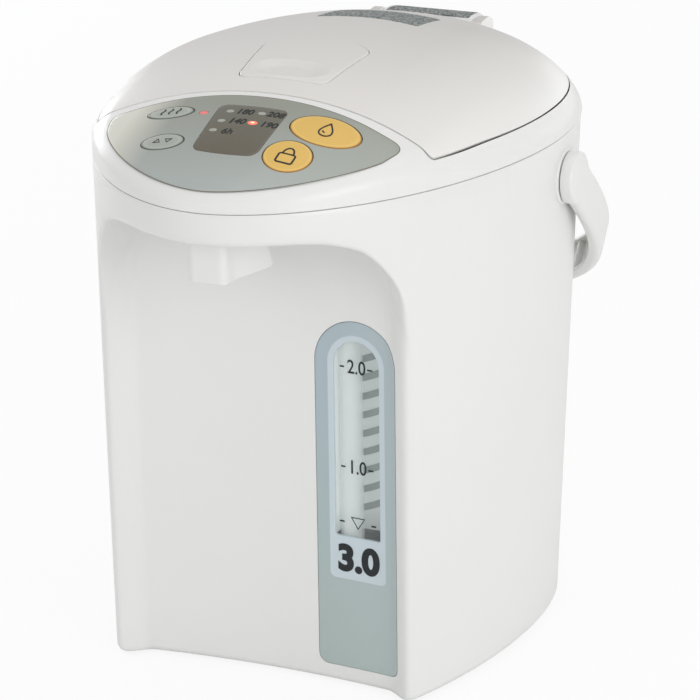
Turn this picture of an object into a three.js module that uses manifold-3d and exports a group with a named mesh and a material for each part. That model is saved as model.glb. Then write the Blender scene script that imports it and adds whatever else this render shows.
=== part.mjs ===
// Electric thermo pot: a three litre water boiler with a motor pump, a level gauge on the front,
// a slanted control panel on the beak over the cup space, a hinged lid and a bail handle.
// Millimetres, +Z up. Every outline is worked out from the sizes below, measured from the axis of
// the water vessel. At the end the pot is shifted so that its middle stands on the origin.

import * as THREE from "three";
import { mergeVertices, toCreasedNormals } from "three/addons/utils/BufferGeometryUtils.js";
import Module from "manifold-3d";

const wasm = await Module();
wasm.setup();

// Sizes that many pieces share
const gap = 0.3; // between pieces that touch
const overrun = 5; // how far a cutter runs past what it cuts
const weld = 0.0005; // corners closer than this are one corner

// How many sides round pieces get
const large = 36;
const medium = 20;
const small = 12;

// The egg-shaped plan of the pot and the casing that follows it
const casing = {
  halfWidth: 110, // at the seam under the upper cover
  baseHalfWidth: 101, // at the bottom
  rearReach: 109.1, // from the vessel's axis to the back
  baseRearReach: 100.2,
  frontReach: 166.7, // from the vessel's axis to the nose of the beak
  baseFrontReach: 181, // where the nose would be at the bottom, were it not cut by the cup space
  bottomZ: 0,
  seamZ: 248.2,
  wall: 2.5,
  edgeRoll: 4, // round edge along the base
  soffitRise: 1.5, // the beak's underside rises to its lip by this much
  fadeRise: 26, // at the front corners the lip fades away over this height
  lipRadius: 3,
};
const rearPower = 2.34; // squareness of the rear half of the egg
const frontPower = 1.81; // the same for the front half

// The cup space: a concave face under an arch
const recess = {
  faceReach: 96.9, // from the axis to the middle of the face
  faceBow: 5.6, // how much further out the face is at its side
  faceHalf: 80,
  archZ: 233, // underside of the beak in the middle
  archHalf: 77,
  springZ: 175, // where the arch meets the side edge
  fadeFrom: 56, // from here outwards the lip gets softer
  fadeTo: 80,
  cornerBlend: 12,
};
const archPower = 3.1;

// The crown of the pot: one dome over the lid and the control panel
const dome = {
  crownZ: 291.3,
  noseDrop: 37.5,
  rearDrop: 19.7,
  sideDrop: 27.5,
  noseShoulder: 9, // width of the rolled edge round the nose
  rearShoulder: 25, // and round the lid
  noseShoulderDrop: 6,
  leastRim: 1.6, // least height of the cover's wall over the seam
};
const nosePower = 2.07;
const shoulderStart = -0.85; // sine of the direction in which the rolled edge starts to widen
const shoulderEnd = -0.5;

const lid = {
  partingZ: 261.5, // level of the joint between lid and upper cover
  seamGap: 0.7,
  wall: 2.5,
  frontReach: 85.3, // from the axis to the lid's front edge
  frontBow: 9.5,
  frontBowHalf: 84,
};
const lidEdgePower = 2.6;

const cover = {
  wall: 2.5,
  deckZ: 253, // top of the deck round the mouth
  deckThickness: 2.5,
  mouthRadius: 86,
  collarThickness: 3,
  collarBottomZ: 240.3,
  rimWidth: 5, // width of the ledge round the deck
};

const vessel = {
  radius: 80.4,
  wall: 0.8,
  floorZ: 61.3,
  rimZ: 237.6,
  rimReach: 9.1, // width of the flange round the mouth
  cornerRadius: 10,
  outletX: 17,
  outletY: -14,
  outletRadius: 5,
  outletDepth: 6, // how far the outlet pipe stands down
};

const sleeve = { innerRadius: 81.5, thickness: 3.4, bottomZ: 74, topZ: 216 };
const rimSeal = { thickness: 2.1 };
const support = { innerRadius: 63.5, width: 9, thickness: 2.4, legWidth: 14, legThickness: 3 };
const supportLegAngles = [45, 135, 225, 315];
const heater = { innerRadius: 34, outerRadius: 60, thickness: 5, bandThickness: 1.5, bandWidth: 8 };
const thermostat = { x: -12, y: 10, radius: 9, height: 6, capRadius: 6, capHeight: 4 };

const pump = {
  chamberRadius: 15.5,
  wall: 2,
  floorZ: 35,
  chamberHeight: 9,
  coverThickness: 2.5,
  spigotRadius: 4.6,
  spigotWall: 1.4,
  spigotHeight: 3.5,
  outletRadius: 3.2,
  outletWall: 1.4,
  outletLength: 13,
  outletAngle: -62, // direction in which the water leaves, seen from above
};
const impeller = {
  radius: 13.5, plate: 2, bladeHeight: 4, bladeThickness: 1.4, hubRadius: 3.5, clearance: 0.6,
};
const bladeCount = 6;
const motor = {
  radius: 13, height: 24, shaftRadius: 1, bossRadius: 4, bossHeight: 1.4, bottomGap: 0.3,
  magnetRadius: 12, magnetHeight: 3.4, shaftBore: 1.3, terminalWidth: 2, terminalHeight: 1.8,
};
const hose = { wall: 1.6, clearance: 0.3, overlap: 3 };

const tube = { x: 43, y: -88.6, outerRadius: 5.5, innerRadius: 4.2, bottomZ: 52, headRoom: 22.2 };
const tubeTopZ = casing.seamZ - tube.headRoom;
const pipe = { outerRadius: 3.3, innerRadius: 2.2, rise: 18.2, bend: 12 };
const pipeZ = tubeTopZ + pipe.rise;

const spout = {
  halfWidth: 9.4,
  frontY: -155,
  bottomZ: 212,
  cornerRadius: 4,
  boreY: -140,
  flareY: -146, // the sides spread from here
  rearY: -118,
  rearHalfWidth: 19,
  rearLean: 8, // how far the rear face leans forward at its top
};
const nozzle = { radius: 5.6, bore: 3.2, drop: 2.5, flangeRadius: 8, flangeHeight: 1.4, clearance: 0.6 };

const gauge = {
  x: 47.2,
  halfWidth: 21,
  bottomZ: 9,
  topZ: 182,
  cornerRadius: 5,
  thickness: 1.6,
  proud: 0.4,
  windowHalf: 11.7,
  windowBottomZ: 75.7,
  windowTopZ: 172.5,
  windowInset: 0.4,
  windowThickness: 1,
  backingThickness: 1,
  backingGap: 0.5,
  backingMargin: 1.5,
};
const stripeCount = 11;
const stripe = { height: 2.4, rise: 5, depth: 0.5 };

const panel = {
  tipX: 71.3,
  tipY: -101.4,
  rearReach: 11.2,
  frontReach: 58.8,
  thickness: 2,
  seatClearance: 0.5,
  panThickness: 2.3,
  panMargin: 2,
  seatFloorDepth: 2.4,
};
const panelRearPower = 2.16;
const panelFrontPower = 1.81;
const panelEdgePower = 1.369;

const displayWindow = { halfWidth: 17, y: -116.3, halfDepth: 17.4, slant: 1, cornerRadius: 3.5 };
const keys = {
  proud: 0.5, clearance: 0.4, flange: 1.3, flangeThickness: 1.2, flangeGap: 0.3,
  reach: 20, // how far down the tools for the keys' holes run
  switchGap: 1.1, // a little more than a key's travel
};
const reboilKey = { x: -39.5, y: -105, halfWidth: 11.6, halfDepth: 5 };
const selectKey = { x: -32.4, y: -128.8, halfWidth: 10.4, halfDepth: 5.8 };
const dispenseKey = { x: 37.8, y: -107.2, halfWidth: 16.8, halfDepth: 10.6 };
const lockKey = { x: 29.2, y: -129.7, halfWidth: 11.2, halfDepth: 10.6 };
const keyList = [
  { name: "reboil_button", ...reboilKey },
  { name: "select_button", ...selectKey },
  { name: "dispense_button", ...dispenseKey },
  { name: "lock_button", ...lockKey },
];
const lamps = { halfWidth: 2.2, halfDepth: 1.4, webThickness: 1, stubGap: 0.4 };
const lampA = { x: -10.1, y: -104.4 };
const lampB = { x: 5.3, y: -104 };
const lampC = { x: -10.9, y: -112.3 };
const lampD = { x: 4.3, y: -112 };
const lampE = { x: -11.6, y: -119.7 };
const lampPlaces = [lampA, lampB, lampC, lampD, lampE];
const readyLamp = { x: -22.5, y: -106.1 };
const board = { thickness: 1.6, depth: 14.5, halfWidth: 50, halfDepth: 24, y: -119, switchHalf: 3 };

const lever = {
  frontY: -70,
  rearY: -17,
  cornerY: -28,
  frontHalf: 21.5,
  rearHalf: 28.5,
  cornerRadius: 5,
  thickness: 2.6,
  gap: 0.4,
  axisY: -27,
  axisDepth: 6.4, // below the dome over the axis
  pinRadius: 1.1,
  knuckleRadius: 2.3,
  earRadius: 2.1,
  knuckleHalf: 15,
  earWidth: 3,
  pressAngle: 6.5,
  wellDepth: 9.4,
  wellWall: 1.8,
  dishHalf: 20,
  dishDepth: 1.5,
  dishLength: 9,
  dishY: -52,
  tongueHalf: 4,
  tongueThickness: 2,
  tongueY: -66.5,
  tongueDrop: 12,
  springY: -52,
};
const spring = { radius: 3.2, wire: 0.4, seatRadius: 4.4, seatHeight: 1.2 };
const springCoils = 2.5;
const springSides = 6;
const springSteps = 12; // in each coil

const latch = {
  barHalf: 7,
  barBottomZ: 263,
  barHeight: 4,
  rearY: -58,
  reach: 1.1, // how far the bolt stands out of the lid
  travel: 2.4,
  rampGap: 0.4,
  slotGap: 0.4,
  railThickness: 2,
  railHeight: 3,
  keeperDepth: 1.2,
};

const liner = { inset: 15, floorZ: 256.8, floorThickness: 2, rimThickness: 2, restRadius: 3 };
const innerPlate = { radius: 78.2, bottomZ: 241, thickness: 1, flangeReach: 4.5, topZ: 256.5, dishRadius: 6 };
const gasket = { grip: 0.4, width: 4.8, bottomZ: 237.9, height: 6, lip: 1.4 };
const vent = { y: 48, radius: 13, height: 3, wall: 1.2, slotWidth: 1.6, holeRadius: 4 };
const ventSlotCount = 6;

const hinge = {
  axisY: 113,
  axisZ: 268,
  hoodHalf: 25,
  hoodRearY: 122,
  hoodTopZ: 273.5,
  hoodBottomZ: 251,
  hoodRadius: 8.5,
  hoodCorner: 2,
  notchRadius: 9.3,
  sideGap: 0.8,
  earWidth: 5.5,
  earRadius: 5.6,
  pinRadius: 2.4,
};

const handle = {
  axisY: 8,
  axisZ: 227.5,
  gripRoom: 10.77, // from the casing's back to the outside of the handle at rest
  padStand: 1.05, // how far the pads under the pivots stand out of the casing
  padGap: 0.5,
  width: 22,
  thickness: 6.4,
  skin: 2.2,
  flange: 2.2,
  edge: 2.5,
  discRadius: 12.5,
  restAngle: -38.5,
  ribThickness: 1.8,
  ribDepth: 3.4,
  pinRadius: 5,
  pinDepth: 5,
  pinHeadRadius: 8,
  pinHeadThickness: 2.4,
  padRadius: 13,
};
const handlePower = 2.8;
const ribCount = 20;

const base = {
  thickness: 2.6,
  bossRadius: 5,
  bossHeight: 16,
  bossInset: 15,
  bossRib: 2.6,
  ventWidth: 3,
  ventLength: 34,
  ventPitch: 8,
  ventY: 4,
  motorRing: 2,
  motorRingHeight: 4,
};
const screwAngles = [38, 142, 232, 308];
const ventCount = 5;
const foot = { radius: 8, drop: 1.6, seatDepth: 1.2, inset: 31 };
const footAngles = [48, 132, 236, 304];
const screw = { radius: 1.9, length: 13, headRadius: 3.6, headHeight: 1.3, sinkGap: 0.3 };

const inlet = {
  halfWidth: 19,
  height: 24,
  bottomZ: 24,
  depth: 15,
  wall: 2,
  flange: 3,
  flangeThickness: 1.6,
  pinRadius: 2.2,
  pinReach: 9,
  pinSpacing: 20,
  cornerRadius: 4,
};
const powerBoard = {
  halfWidth: 34, frontY: 38, rearY: 74, z: 12, thickness: 1.6, standoffRadius: 3,
  coilHalf: 10, coilHeight: 16, canRadius: 6, canHeight: 18,
};

// Colours of the finishes
const finishes = {
  white: { color: 0xecebe6, roughness: 0.42, metalness: 0 },
  lidWhite: { color: 0xe9e9e5, roughness: 0.36, metalness: 0 },
  panelGrey: { color: 0x9ba59e, roughness: 0.35, metalness: 0.1 },
  smoke: { color: 0x69695a, roughness: 0.2, metalness: 0 },
  amber: { color: 0xe1b450, roughness: 0.4, metalness: 0 },
  silver: { color: 0xafb6ac, roughness: 0.4, metalness: 0.2 },
  gaugeBlue: { color: 0xa8b8ba, roughness: 0.4, metalness: 0 },
  clear: { color: 0xe6eef0, roughness: 0.05, metalness: 0, transparent: true, opacity: 0.35 },
  steel: { color: 0xb9bcbe, roughness: 0.3, metalness: 1 },
  rubber: { color: 0x3a3a3a, roughness: 0.8, metalness: 0 },
  silicone: { color: 0xd9d6cf, roughness: 0.7, metalness: 0 },
  circuit: { color: 0x2f5b3c, roughness: 0.6, metalness: 0 },
  darkPlastic: { color: 0x4a4c4d, roughness: 0.5, metalness: 0 },
};

// Small helpers

const radians = THREE.MathUtils.degToRad;
const lerp = THREE.MathUtils.lerp;
const clamp = THREE.MathUtils.clamp;
const share = (index, count) => index / count;
const range = (count) => [...Array(count).keys()];

// Shared corners are merged and the faces are turned outwards before the mesh becomes a solid.
function asSolid(geometry) {
  const bare = geometry.clone();
  bare.deleteAttribute("normal");
  bare.deleteAttribute("uv");
  const merged = mergeVertices(bare, weld);
  const vertProperties = new Float32Array(merged.attributes.position.array);
  const triVerts = new Uint32Array(merged.index.array);
  if (signedVolume(vertProperties, triVerts) < 0) {
    triVerts.reverse();
  }
  return new wasm.Manifold(new wasm.Mesh({ numProp: 3, vertProperties, triVerts }));
}

function signedVolume(positions, corners) {
  const at = (corner) => new THREE.Vector3().fromArray(positions, 3 * corner);
  let sum = 0;
  for (let i = 0; i < corners.length; i += 3) {
    sum += at(corners[i]).dot(at(corners[i + 1]).cross(at(corners[i + 2])));
  }
  return sum;
}

// A closed body through rings of points, each end closed by a fan from its middle.
function ringSolid(rings) {
  const count = rings[0].length;
  const positions = rings.flat(2);
  const middles = [rings[0], rings[rings.length - 1]].map((ring) =>
    [0, 1, 2].map((axis) => ring.reduce((sum, point) => sum + point[axis], 0) / count));
  positions.push(...middles.flat());
  const faces = [];
  const firstMiddle = rings.length * count;
  for (let row = 0; row < rings.length - 1; row += 1) {
    for (let i = 0; i < count; i += 1) {
      const next = (i + 1) % count;
      const a = row * count + i;
      const b = row * count + next;
      faces.push(a, b, b + count, a, b + count, a + count);
    }
  }
  for (let i = 0; i < count; i += 1) {
    const next = (i + 1) % count;
    const last = (rings.length - 1) * count;
    faces.push(firstMiddle, next, i, firstMiddle + 1, last + i, last + next);
  }
  const geometry = new THREE.BufferGeometry();
  geometry.setAttribute("position", new THREE.Float32BufferAttribute(positions, 3));
  geometry.setIndex(faces);
  return asSolid(geometry);
}

const vectors = (points) => points.map(([x, y]) => new THREE.Vector2(x, y));

// Outlines in plan, drawn up from one level to another
function prism(points, low, high) {
  const depth = high - low;
  const geometry = new THREE.ExtrudeGeometry(new THREE.Shape(vectors(points)), { depth, bevelEnabled: false });
  geometry.translate(0, 0, low);
  return asSolid(geometry);
}

// Outlines in (x, z), drawn along Y between two places
function prismAlongY(points, low, high) {
  return prism(points.map(([x, z]) => [x, -z]), low, high).transform([
    1, 0, 0, 0, 0, 0, -1, 0, 0, 1, 0, 0, 0, 0, 0, 1,
  ]);
}

// Outlines in (y, z), drawn along X between two places
function prismAlongX(points, low, high) {
  return prism(points, low, high).transform([
    0, 1, 0, 0, 0, 0, 1, 0, 1, 0, 0, 0, 0, 0, 0, 1,
  ]);
}

const rectangle = (x0, y0, x1, y1) => [[x0, y0], [x1, y0], [x1, y1], [x0, y1]];
const block = (x0, x1, y0, y1, z0, z1) => prism(rectangle(x0, y0, x1, y1), z0, z1);

function rod(radius, low, high, x = 0, y = 0, sides = medium) {
  const geometry = new THREE.CylinderGeometry(radius, radius, high - low, sides);
  geometry.rotateX(Math.PI / 2);
  geometry.translate(x, y, (low + high) / 2);
  return asSolid(geometry);
}

function rodAlongX(radius, low, high, y, z, sides = medium) {
  const geometry = new THREE.CylinderGeometry(radius, radius, high - low, sides);
  geometry.rotateZ(Math.PI / 2);
  geometry.translate((low + high) / 2, y, z);
  return asSolid(geometry);
}

// A profile of (radius, z) points turned round the vertical axis
function turned(profile, sides = large) {
  const geometry = new THREE.LatheGeometry(vectors(profile), sides);
  geometry.rotateX(Math.PI / 2);
  return asSolid(geometry);
}

const ringProfile = (inner, outer, low, high) =>
  [[inner, low], [outer, low], [outer, high], [inner, high], [inner, low]];

const polar = (radius, degrees) =>
  [radius * Math.cos(radians(degrees)), radius * Math.sin(radians(degrees))];

const ellipse = (x, y, halfWidth, halfDepth, sides) =>
  range(sides).map((i) => {
    const [c, s] = polar(1, 360 * share(i, sides));
    return [x + halfWidth * c, y + halfDepth * s];
  });

// A rectangle with round corners
function roundRectangle(x0, y0, x1, y1, radius, steps = 4) {
  const corners = [[x1 - radius, y1 - radius, 0], [x0 + radius, y1 - radius, 90],
    [x0 + radius, y0 + radius, 180], [x1 - radius, y0 + radius, 270]];
  return corners.flatMap(([x, y, start]) => range(steps + 1).map((i) => {
    const [dx, dy] = polar(radius, start + 90 * share(i, steps));
    return [x + dx, y + dy];
  }));
}

// A hollow tube along a smooth curve through some points
function hollowTube(points, outer, inner, steps, sides = 10) {
  const curve = new THREE.CatmullRomCurve3(points.map((point) => new THREE.Vector3(...point)));
  const circle = (radius) => new THREE.Path(vectors(ellipse(0, 0, radius, radius, sides)));
  const shape = new THREE.Shape(circle(outer).getPoints());
  shape.holes.push(circle(inner));
  return asSolid(new THREE.ExtrudeGeometry(shape, { extrudePath: curve, steps, bevelEnabled: false }));
}

// The forms of the pot

const farOut = 2 * casing.halfWidth;

// Distance from the axis to the egg's edge in one direction and at one level: a superellipse in each half
function eggRadius(angle, z = casing.seamZ) {
  const upward = z / casing.seamZ;
  const isFront = Math.sin(angle) < 0;
  const power = isFront ? frontPower : rearPower;
  const halfWidth = lerp(casing.baseHalfWidth, casing.halfWidth, upward);
  const reach = isFront ? lerp(casing.baseFrontReach, casing.frontReach, upward)
    : lerp(casing.baseRearReach, casing.rearReach, upward);
  const across = Math.abs(Math.cos(angle)) / halfWidth;
  const along = Math.abs(Math.sin(angle)) / reach;
  return (across ** power + along ** power) ** (-1 / power);
}
const rearWallY = (z) => eggRadius(Math.PI / 2, z);
const sideWallX = (z) => eggRadius(0, z);

// The handle's size follows from the casing: it turns clear of the sides and rests clear of the back
const handlePadX = sideWallX(handle.axisZ) + handle.padStand;
const handleHalfWidth = handlePadX + handle.padGap + handle.thickness;
const handleReach = (rearWallY(handle.axisZ) + handle.gripRoom - handle.axisY) / Math.cos(radians(handle.restAngle));

// Distance from the axis to the concave face of the cup space, where the direction meets it
function faceRadius(angle) {
  const across = Math.cos(angle);
  const forward = -Math.sin(angle);
  const bend = recess.faceBow / recess.faceHalf ** 2;
  const root = forward ** 2 - 4 * bend * recess.faceReach * across ** 2;
  if (forward <= 0 || root <= 0) {
    return 2 * casing.frontReach;
  }
  return (2 * recess.faceReach) / (forward + Math.sqrt(root));
}

const faceY = (x) => -recess.faceReach - recess.faceBow * (x / recess.faceHalf) ** 2;

// The lesser of two lengths, with a round change from one to the other
function softLesser(a, b, blend) {
  const near = Math.max(blend - Math.abs(a - b), 0) / blend;
  return Math.min(a, b) - (near ** 2 * blend) / 4;
}

// How far to the side the egg's edge lies in one direction, with the back counted as far out
const sideReach = (angle) => (Math.sin(angle) < 0 ? Math.abs(eggRadius(angle) * Math.cos(angle)) : farOut);

// Height of the beak's underside in one direction
function archHeight(angle) {
  const across = Math.min(sideReach(angle) / recess.archHalf, 1);
  return recess.springZ + (recess.archZ - recess.springZ) * (1 - across ** archPower) ** (1 / archPower);
}

function bodyRadius(angle, z) {
  return softLesser(eggRadius(angle, z), faceRadius(angle), recess.cornerBlend);
}

// Directions round the pot, closer together at the front corners
const cornerStart = 29; // from the nose, in degrees
const cornerEnd = 43;
function directionsRound(stretches) {
  const side = stretches.flatMap(([from, to, count]) =>
    range(count).map((i) => lerp(from, to, share(i, count))));
  return [...side, 180, ...side.slice(1).reverse().map((angle) => -angle)].map((angle) => radians(angle - 90));
}
const directions = directionsRound([[0, cornerStart, 5], [cornerStart, cornerEnd, 8], [cornerEnd, 180, 18]]);
const innerDirections = directionsRound([[0, cornerStart, 4], [cornerStart, cornerEnd, 4], [cornerEnd, 180, 10]]);

const levelShares = [0.2, 0.6];
const rollShares = [0, 0.4, 0.75];

// The casing's form, drawn in by some thickness. The plain end rows belong to the hollow.
function casingForm(inset, isHollow) {
  const columns = (isHollow ? innerDirections : directions).map((angle) => {
    const column = [];
    const add = (radius, z) => column.push([radius * Math.cos(angle), radius * Math.sin(angle), z]);
    const bottom = casing.bottomZ;
    const roll = casing.edgeRoll;
    const arch = archHeight(angle) + inset;
    const fade = clamp((sideReach(angle) - recess.fadeFrom) / (recess.fadeTo - recess.fadeFrom), 0, 1) ** 2;
    const soffit = arch + lerp(casing.soffitRise, casing.fadeRise, fade);
    if (isHollow) {
      const mouth = bodyRadius(angle, bottom) - inset - roll;
      add(mouth, bottom - overrun);
      add(mouth, bottom + base.thickness + gap);
      add(mouth + roll, bottom + base.thickness + gap + roll / 2);
    } else {
      rollShares.forEach((part) => {
        const turn = (part * Math.PI) / 2;
        const z = bottom + roll * (1 - Math.cos(turn));
        add(bodyRadius(angle, z) - inset - roll * (1 - Math.sin(turn)), z);
      });
      add(bodyRadius(angle, bottom + roll) - inset, bottom + roll);
    }
    const low = bottom + 2 * roll;
    levelShares.forEach((part) => {
      const z = lerp(low, recess.springZ, part);
      add(bodyRadius(angle, z) - inset, z);
    });
    add(bodyRadius(angle, arch) - inset, arch);
    const lip = lerp(casing.lipRadius, 0, fade);
    add(eggRadius(angle, soffit) - inset - lip, soffit);
    add(eggRadius(angle, soffit) - inset - lip / 4, soffit + casing.lipRadius / 3);
    add(eggRadius(angle, soffit + casing.lipRadius) - inset, soffit + casing.lipRadius);
    const top = casing.seamZ - gap / 2 + (isHollow ? overrun : 0);
    add(eggRadius(angle) - inset, top);
    return column;
  });
  return ringSolid(columns[0].map((point, row) => columns.map((column) => column[row])));
}

// Height of the dome over a place in plan
function domeZ(x, y) {
  const fall = y < 0 ? dome.noseDrop * (-y / casing.frontReach) ** nosePower
    : dome.rearDrop * (y / casing.rearReach) ** 2;
  return dome.crownZ - fall - dome.sideDrop * (x / casing.halfWidth) ** 2;
}

const crownCount = 48; // directions round the crown
const hollowCount = 24; // directions round its hollow side
const shoulderTurns = [0, 20, 40, 65, 90]; // degrees along the rolled edge
const crownShares = [0.75, 0.5, 0.25];

// The form over the seam: the egg's wall, a rolled shoulder and the dome, drawn in by some thickness
function crownForm(inset, lowZ, count = crownCount) {
  const columns = range(count).map((i) => {
    const angle = radians(360 * share(i, count) - 90);
    const edge = eggRadius(angle, lid.partingZ);
    const edgeDome = domeZ(edge * Math.cos(angle), edge * Math.sin(angle));
    const widening = THREE.MathUtils.smoothstep(Math.sin(angle), shoulderStart, shoulderEnd);
    const whole = edgeDome - casing.seamZ - dome.leastRim;
    const fullDrop = lerp(Math.min(dome.noseShoulderDrop, whole), whole, widening);
    const fullReach = lerp(dome.noseShoulder, dome.rearShoulder, widening);
    const reach = Math.max(fullReach - inset, gap);
    const drop = (fullDrop * reach) / fullReach;
    const radius = edge - inset;
    const column = [];
    const add = (at, z) => column.push([at * Math.cos(angle), at * Math.sin(angle), z]);
    const onDome = (at) => domeZ(at * Math.cos(angle), at * Math.sin(angle)) - inset;
    add(eggRadius(angle) - inset, lowZ);
    shoulderTurns.forEach((turn) => {
      const at = radius - reach * (1 - Math.cos(radians(turn)));
      add(at, onDome(at) - drop * (1 - Math.sin(radians(turn))));
    });
    crownShares.forEach((part) => add(part * (radius - reach), onDome(part * (radius - reach))));
    return column;
  });
  return ringSolid(columns[0].map((point, row) => columns.map((column) => column[row])));
}

const coverBottomZ = casing.seamZ + gap / 2;
const crown = crownForm(0, coverBottomZ);
// The layer of the dome between two depths under its surface
const crownLayer = (from, to) => crownForm(from, coverBottomZ).subtract(crownForm(to, coverBottomZ - overrun));

// Everything behind a line parallel to the lid's front edge
function behindLidEdge(shift, low, high) {
  const steps = 12;
  const edge = range(steps + 1).map((i) => {
    const x = lerp(-lid.frontBowHalf, lid.frontBowHalf, share(i, steps));
    return [x, -lid.frontReach - lid.frontBow * Math.abs(x / lid.frontBowHalf) ** lidEdgePower + shift];
  });
  const first = edge[0][1];
  return prism([[-farOut, first], ...edge, [farOut, first], [farOut, farOut], [-farOut, farOut]], low, high);
}

// The pot's plan drawn in by some width, at the level of the lid's parting
function planPrism(inset, low, high) {
  const outline = range(crownCount).map((i) => {
    const angle = radians(360 * share(i, crownCount) - 90);
    const radius = eggRadius(angle, lid.partingZ) - inset;
    return [radius * Math.cos(angle), radius * Math.sin(angle)];
  });
  return prism(outline, low, high);
}

const skyZ = dome.crownZ + overrun;

// The lens outline of the control panel, grown by some margin
function panelOutline(grow) {
  const halfSteps = 14;
  const half = (reach, power, from, to) => range(halfSteps).map((i) => {
    const turn = radians(lerp(from, to, share(i, halfSteps)));
    const x = (panel.tipX + grow) * Math.cos(turn);
    const left = 1 - Math.abs(Math.cos(turn)) ** power;
    return [x, panel.tipY + Math.sign(reach) * (Math.abs(reach) + grow) * left ** (1 / panelEdgePower)];
  });
  return [...half(panel.rearReach, panelRearPower, 0, 180), ...half(-panel.frontReach, panelFrontPower, 180, 360)];
}
const panelPrism = (grow) => prism(panelOutline(grow), coverBottomZ, skyZ);

// The slope of the panel, and pieces built square to it: w is the height over the panel's surface
const slopeRise = domeZ(0, panel.tipY) - domeZ(0, panel.tipY - panel.frontReach);
const slope = Math.atan2(slopeRise, panel.frontReach);
function onPanel(solid, x, y) {
  const turn = THREE.MathUtils.radToDeg(slope);
  return solid.rotate([turn, 0, 0]).translate([x, y, domeZ(x, y)]);
}

// Body: casing, gauge, base

function makeCasing() {
  let solid = casingForm(0, false).subtract(casingForm(casing.wall, true));
  const cavity = casingForm(casing.wall - gap, true);
  const pad = rodAlongX(handle.padRadius, -handlePadX, handlePadX, handle.axisY, handle.axisZ, medium);
  solid = solid.add(pad.subtract(cavity));
  const bosses = screwAngles.map((degrees) => casingBoss(degrees));
  solid = wasm.Manifold.union([solid, ...bosses.map((boss) => boss.intersect(casingForm(gap, false)))]);
  const pinHole = handle.pinRadius + gap;
  solid = solid.subtract(rodAlongX(pinHole, -farOut, farOut, handle.axisY, handle.axisZ));
  solid = solid.subtract(gaugePocket(gap, gauge.thickness - gauge.proud + gap));
  solid = solid.subtract(windowPrism(0, -casing.frontReach, tube.y));
  solid = solid.subtract(rod(nozzle.radius + gap, spout.bottomZ, casing.seamZ, 0, spout.boreY));
  const socket = roundRectangle(-inlet.halfWidth - gap, inlet.bottomZ - gap, inlet.halfWidth + gap,
    inlet.bottomZ + inlet.height + gap, inlet.cornerRadius);
  return solid.subtract(prismAlongY(socket, casing.rearReach / 2, casing.rearReach + overrun));
}

// A screw boss that stands over the base plate and is ribbed to the wall
function casingBoss(degrees) {
  const angle = radians(degrees);
  const wallAt = bodyRadius(angle, casing.bottomZ + base.bossHeight);
  const at = bodyRadius(angle, casing.bottomZ) - base.bossInset;
  const low = casing.bottomZ + base.thickness + gap;
  const boss = rod(base.bossRadius, low, low + base.bossHeight, at, 0, small)
    .add(block(at, wallAt, -base.bossRib / 2, base.bossRib / 2, low, low + base.bossHeight));
  const bore = rod(screw.radius + gap, low - overrun, low + screw.length, at, 0, small);
  return boss.subtract(bore).rotate([0, 0, degrees]);
}

// The gauge panel's outline in (x, z): square below with small corners, half round above
function gaugeOutline(grow) {
  const half = gauge.halfWidth + grow;
  const top = gauge.topZ - gauge.halfWidth;
  const low = gauge.bottomZ - grow;
  const radius = gauge.cornerRadius + grow;
  const arc = (x, z, r, from, to, steps) => range(steps + 1).map((i) => {
    const [dx, dz] = polar(r, lerp(from, to, share(i, steps)));
    return [gauge.x + x + dx, z + dz];
  });
  return [...arc(0, top, half, 0, 180, medium), ...arc(-half + radius, low + radius, radius, 180, 270, 4),
    ...arc(half - radius, low + radius, radius, 270, 360, 4)];
}

// A layer that follows the concave face, between two depths behind it
function faceLayer(front, rear) {
  const steps = 10;
  const limit = recess.faceHalf;
  const along = (depth, flip) => range(steps + 1).map((i) => {
    const x = lerp(-limit, limit, flip ? 1 - share(i, steps) : share(i, steps));
    return [x, faceY(x) + depth];
  });
  return prism([...along(front, false), ...along(rear, true)], casing.bottomZ, recess.archZ);
}

function gaugePocket(grow, depth) {
  return prismAlongY(gaugeOutline(grow), -casing.frontReach, 0).intersect(faceLayer(-overrun, depth));
}

function windowOutline(grow) {
  const half = gauge.windowHalf + grow;
  const top = gauge.windowTopZ - gauge.windowHalf;
  const arc = range(13).map((i) => {
    const [dx, dz] = polar(half, 180 * share(i, small));
    return [gauge.x + dx, top + dz];
  });
  return [...arc, [gauge.x - half, gauge.windowBottomZ - grow], [gauge.x + half, gauge.windowBottomZ - grow]];
}
const windowPrism = (grow, front, rear) => prismAlongY(windowOutline(grow), front, rear);

function makeGaugePanel() {
  const plate = prismAlongY(gaugeOutline(0), -casing.frontReach, 0)
    .intersect(faceLayer(-gauge.proud, gauge.thickness - gauge.proud));
  return plate.subtract(windowPrism(0, -casing.frontReach, 0));
}

function makeGaugeWindow() {
  const front = gauge.windowInset - gauge.proud;
  return windowPrism(-gap, -casing.frontReach, 0).intersect(faceLayer(front, front + gauge.windowThickness));
}

const backingY = tube.y + tube.outerRadius + gauge.backingGap;

// The striped plate behind the tube: slanted ribs stand out of it on one side
function makeGaugeBacking() {
  const margin = gauge.backingMargin;
  const left = gauge.x - gauge.windowHalf - margin;
  const right = gauge.x + gauge.windowHalf + margin;
  const low = gauge.windowBottomZ - margin;
  const high = gauge.windowTopZ + margin;
  const plate = prismAlongY(rectangle(left, low, right, high), backingY, backingY + gauge.backingThickness);
  const pitch = (gauge.windowTopZ - gauge.windowBottomZ) / stripeCount;
  const stripeLeft = tube.x + tube.outerRadius;
  const stripes = range(stripeCount - 1).map((i) => {
    const z = gauge.windowBottomZ + pitch * (i + 0.5);
    const outline = [[stripeLeft, z], [right - margin, z + stripe.rise],
      [right - margin, z + stripe.rise + stripe.height], [stripeLeft, z + stripe.height]];
    return prismAlongY(outline, backingY - stripe.depth, backingY + gauge.backingThickness / 2);
  });
  return wasm.Manifold.union([plate, ...stripes]);
}

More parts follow.
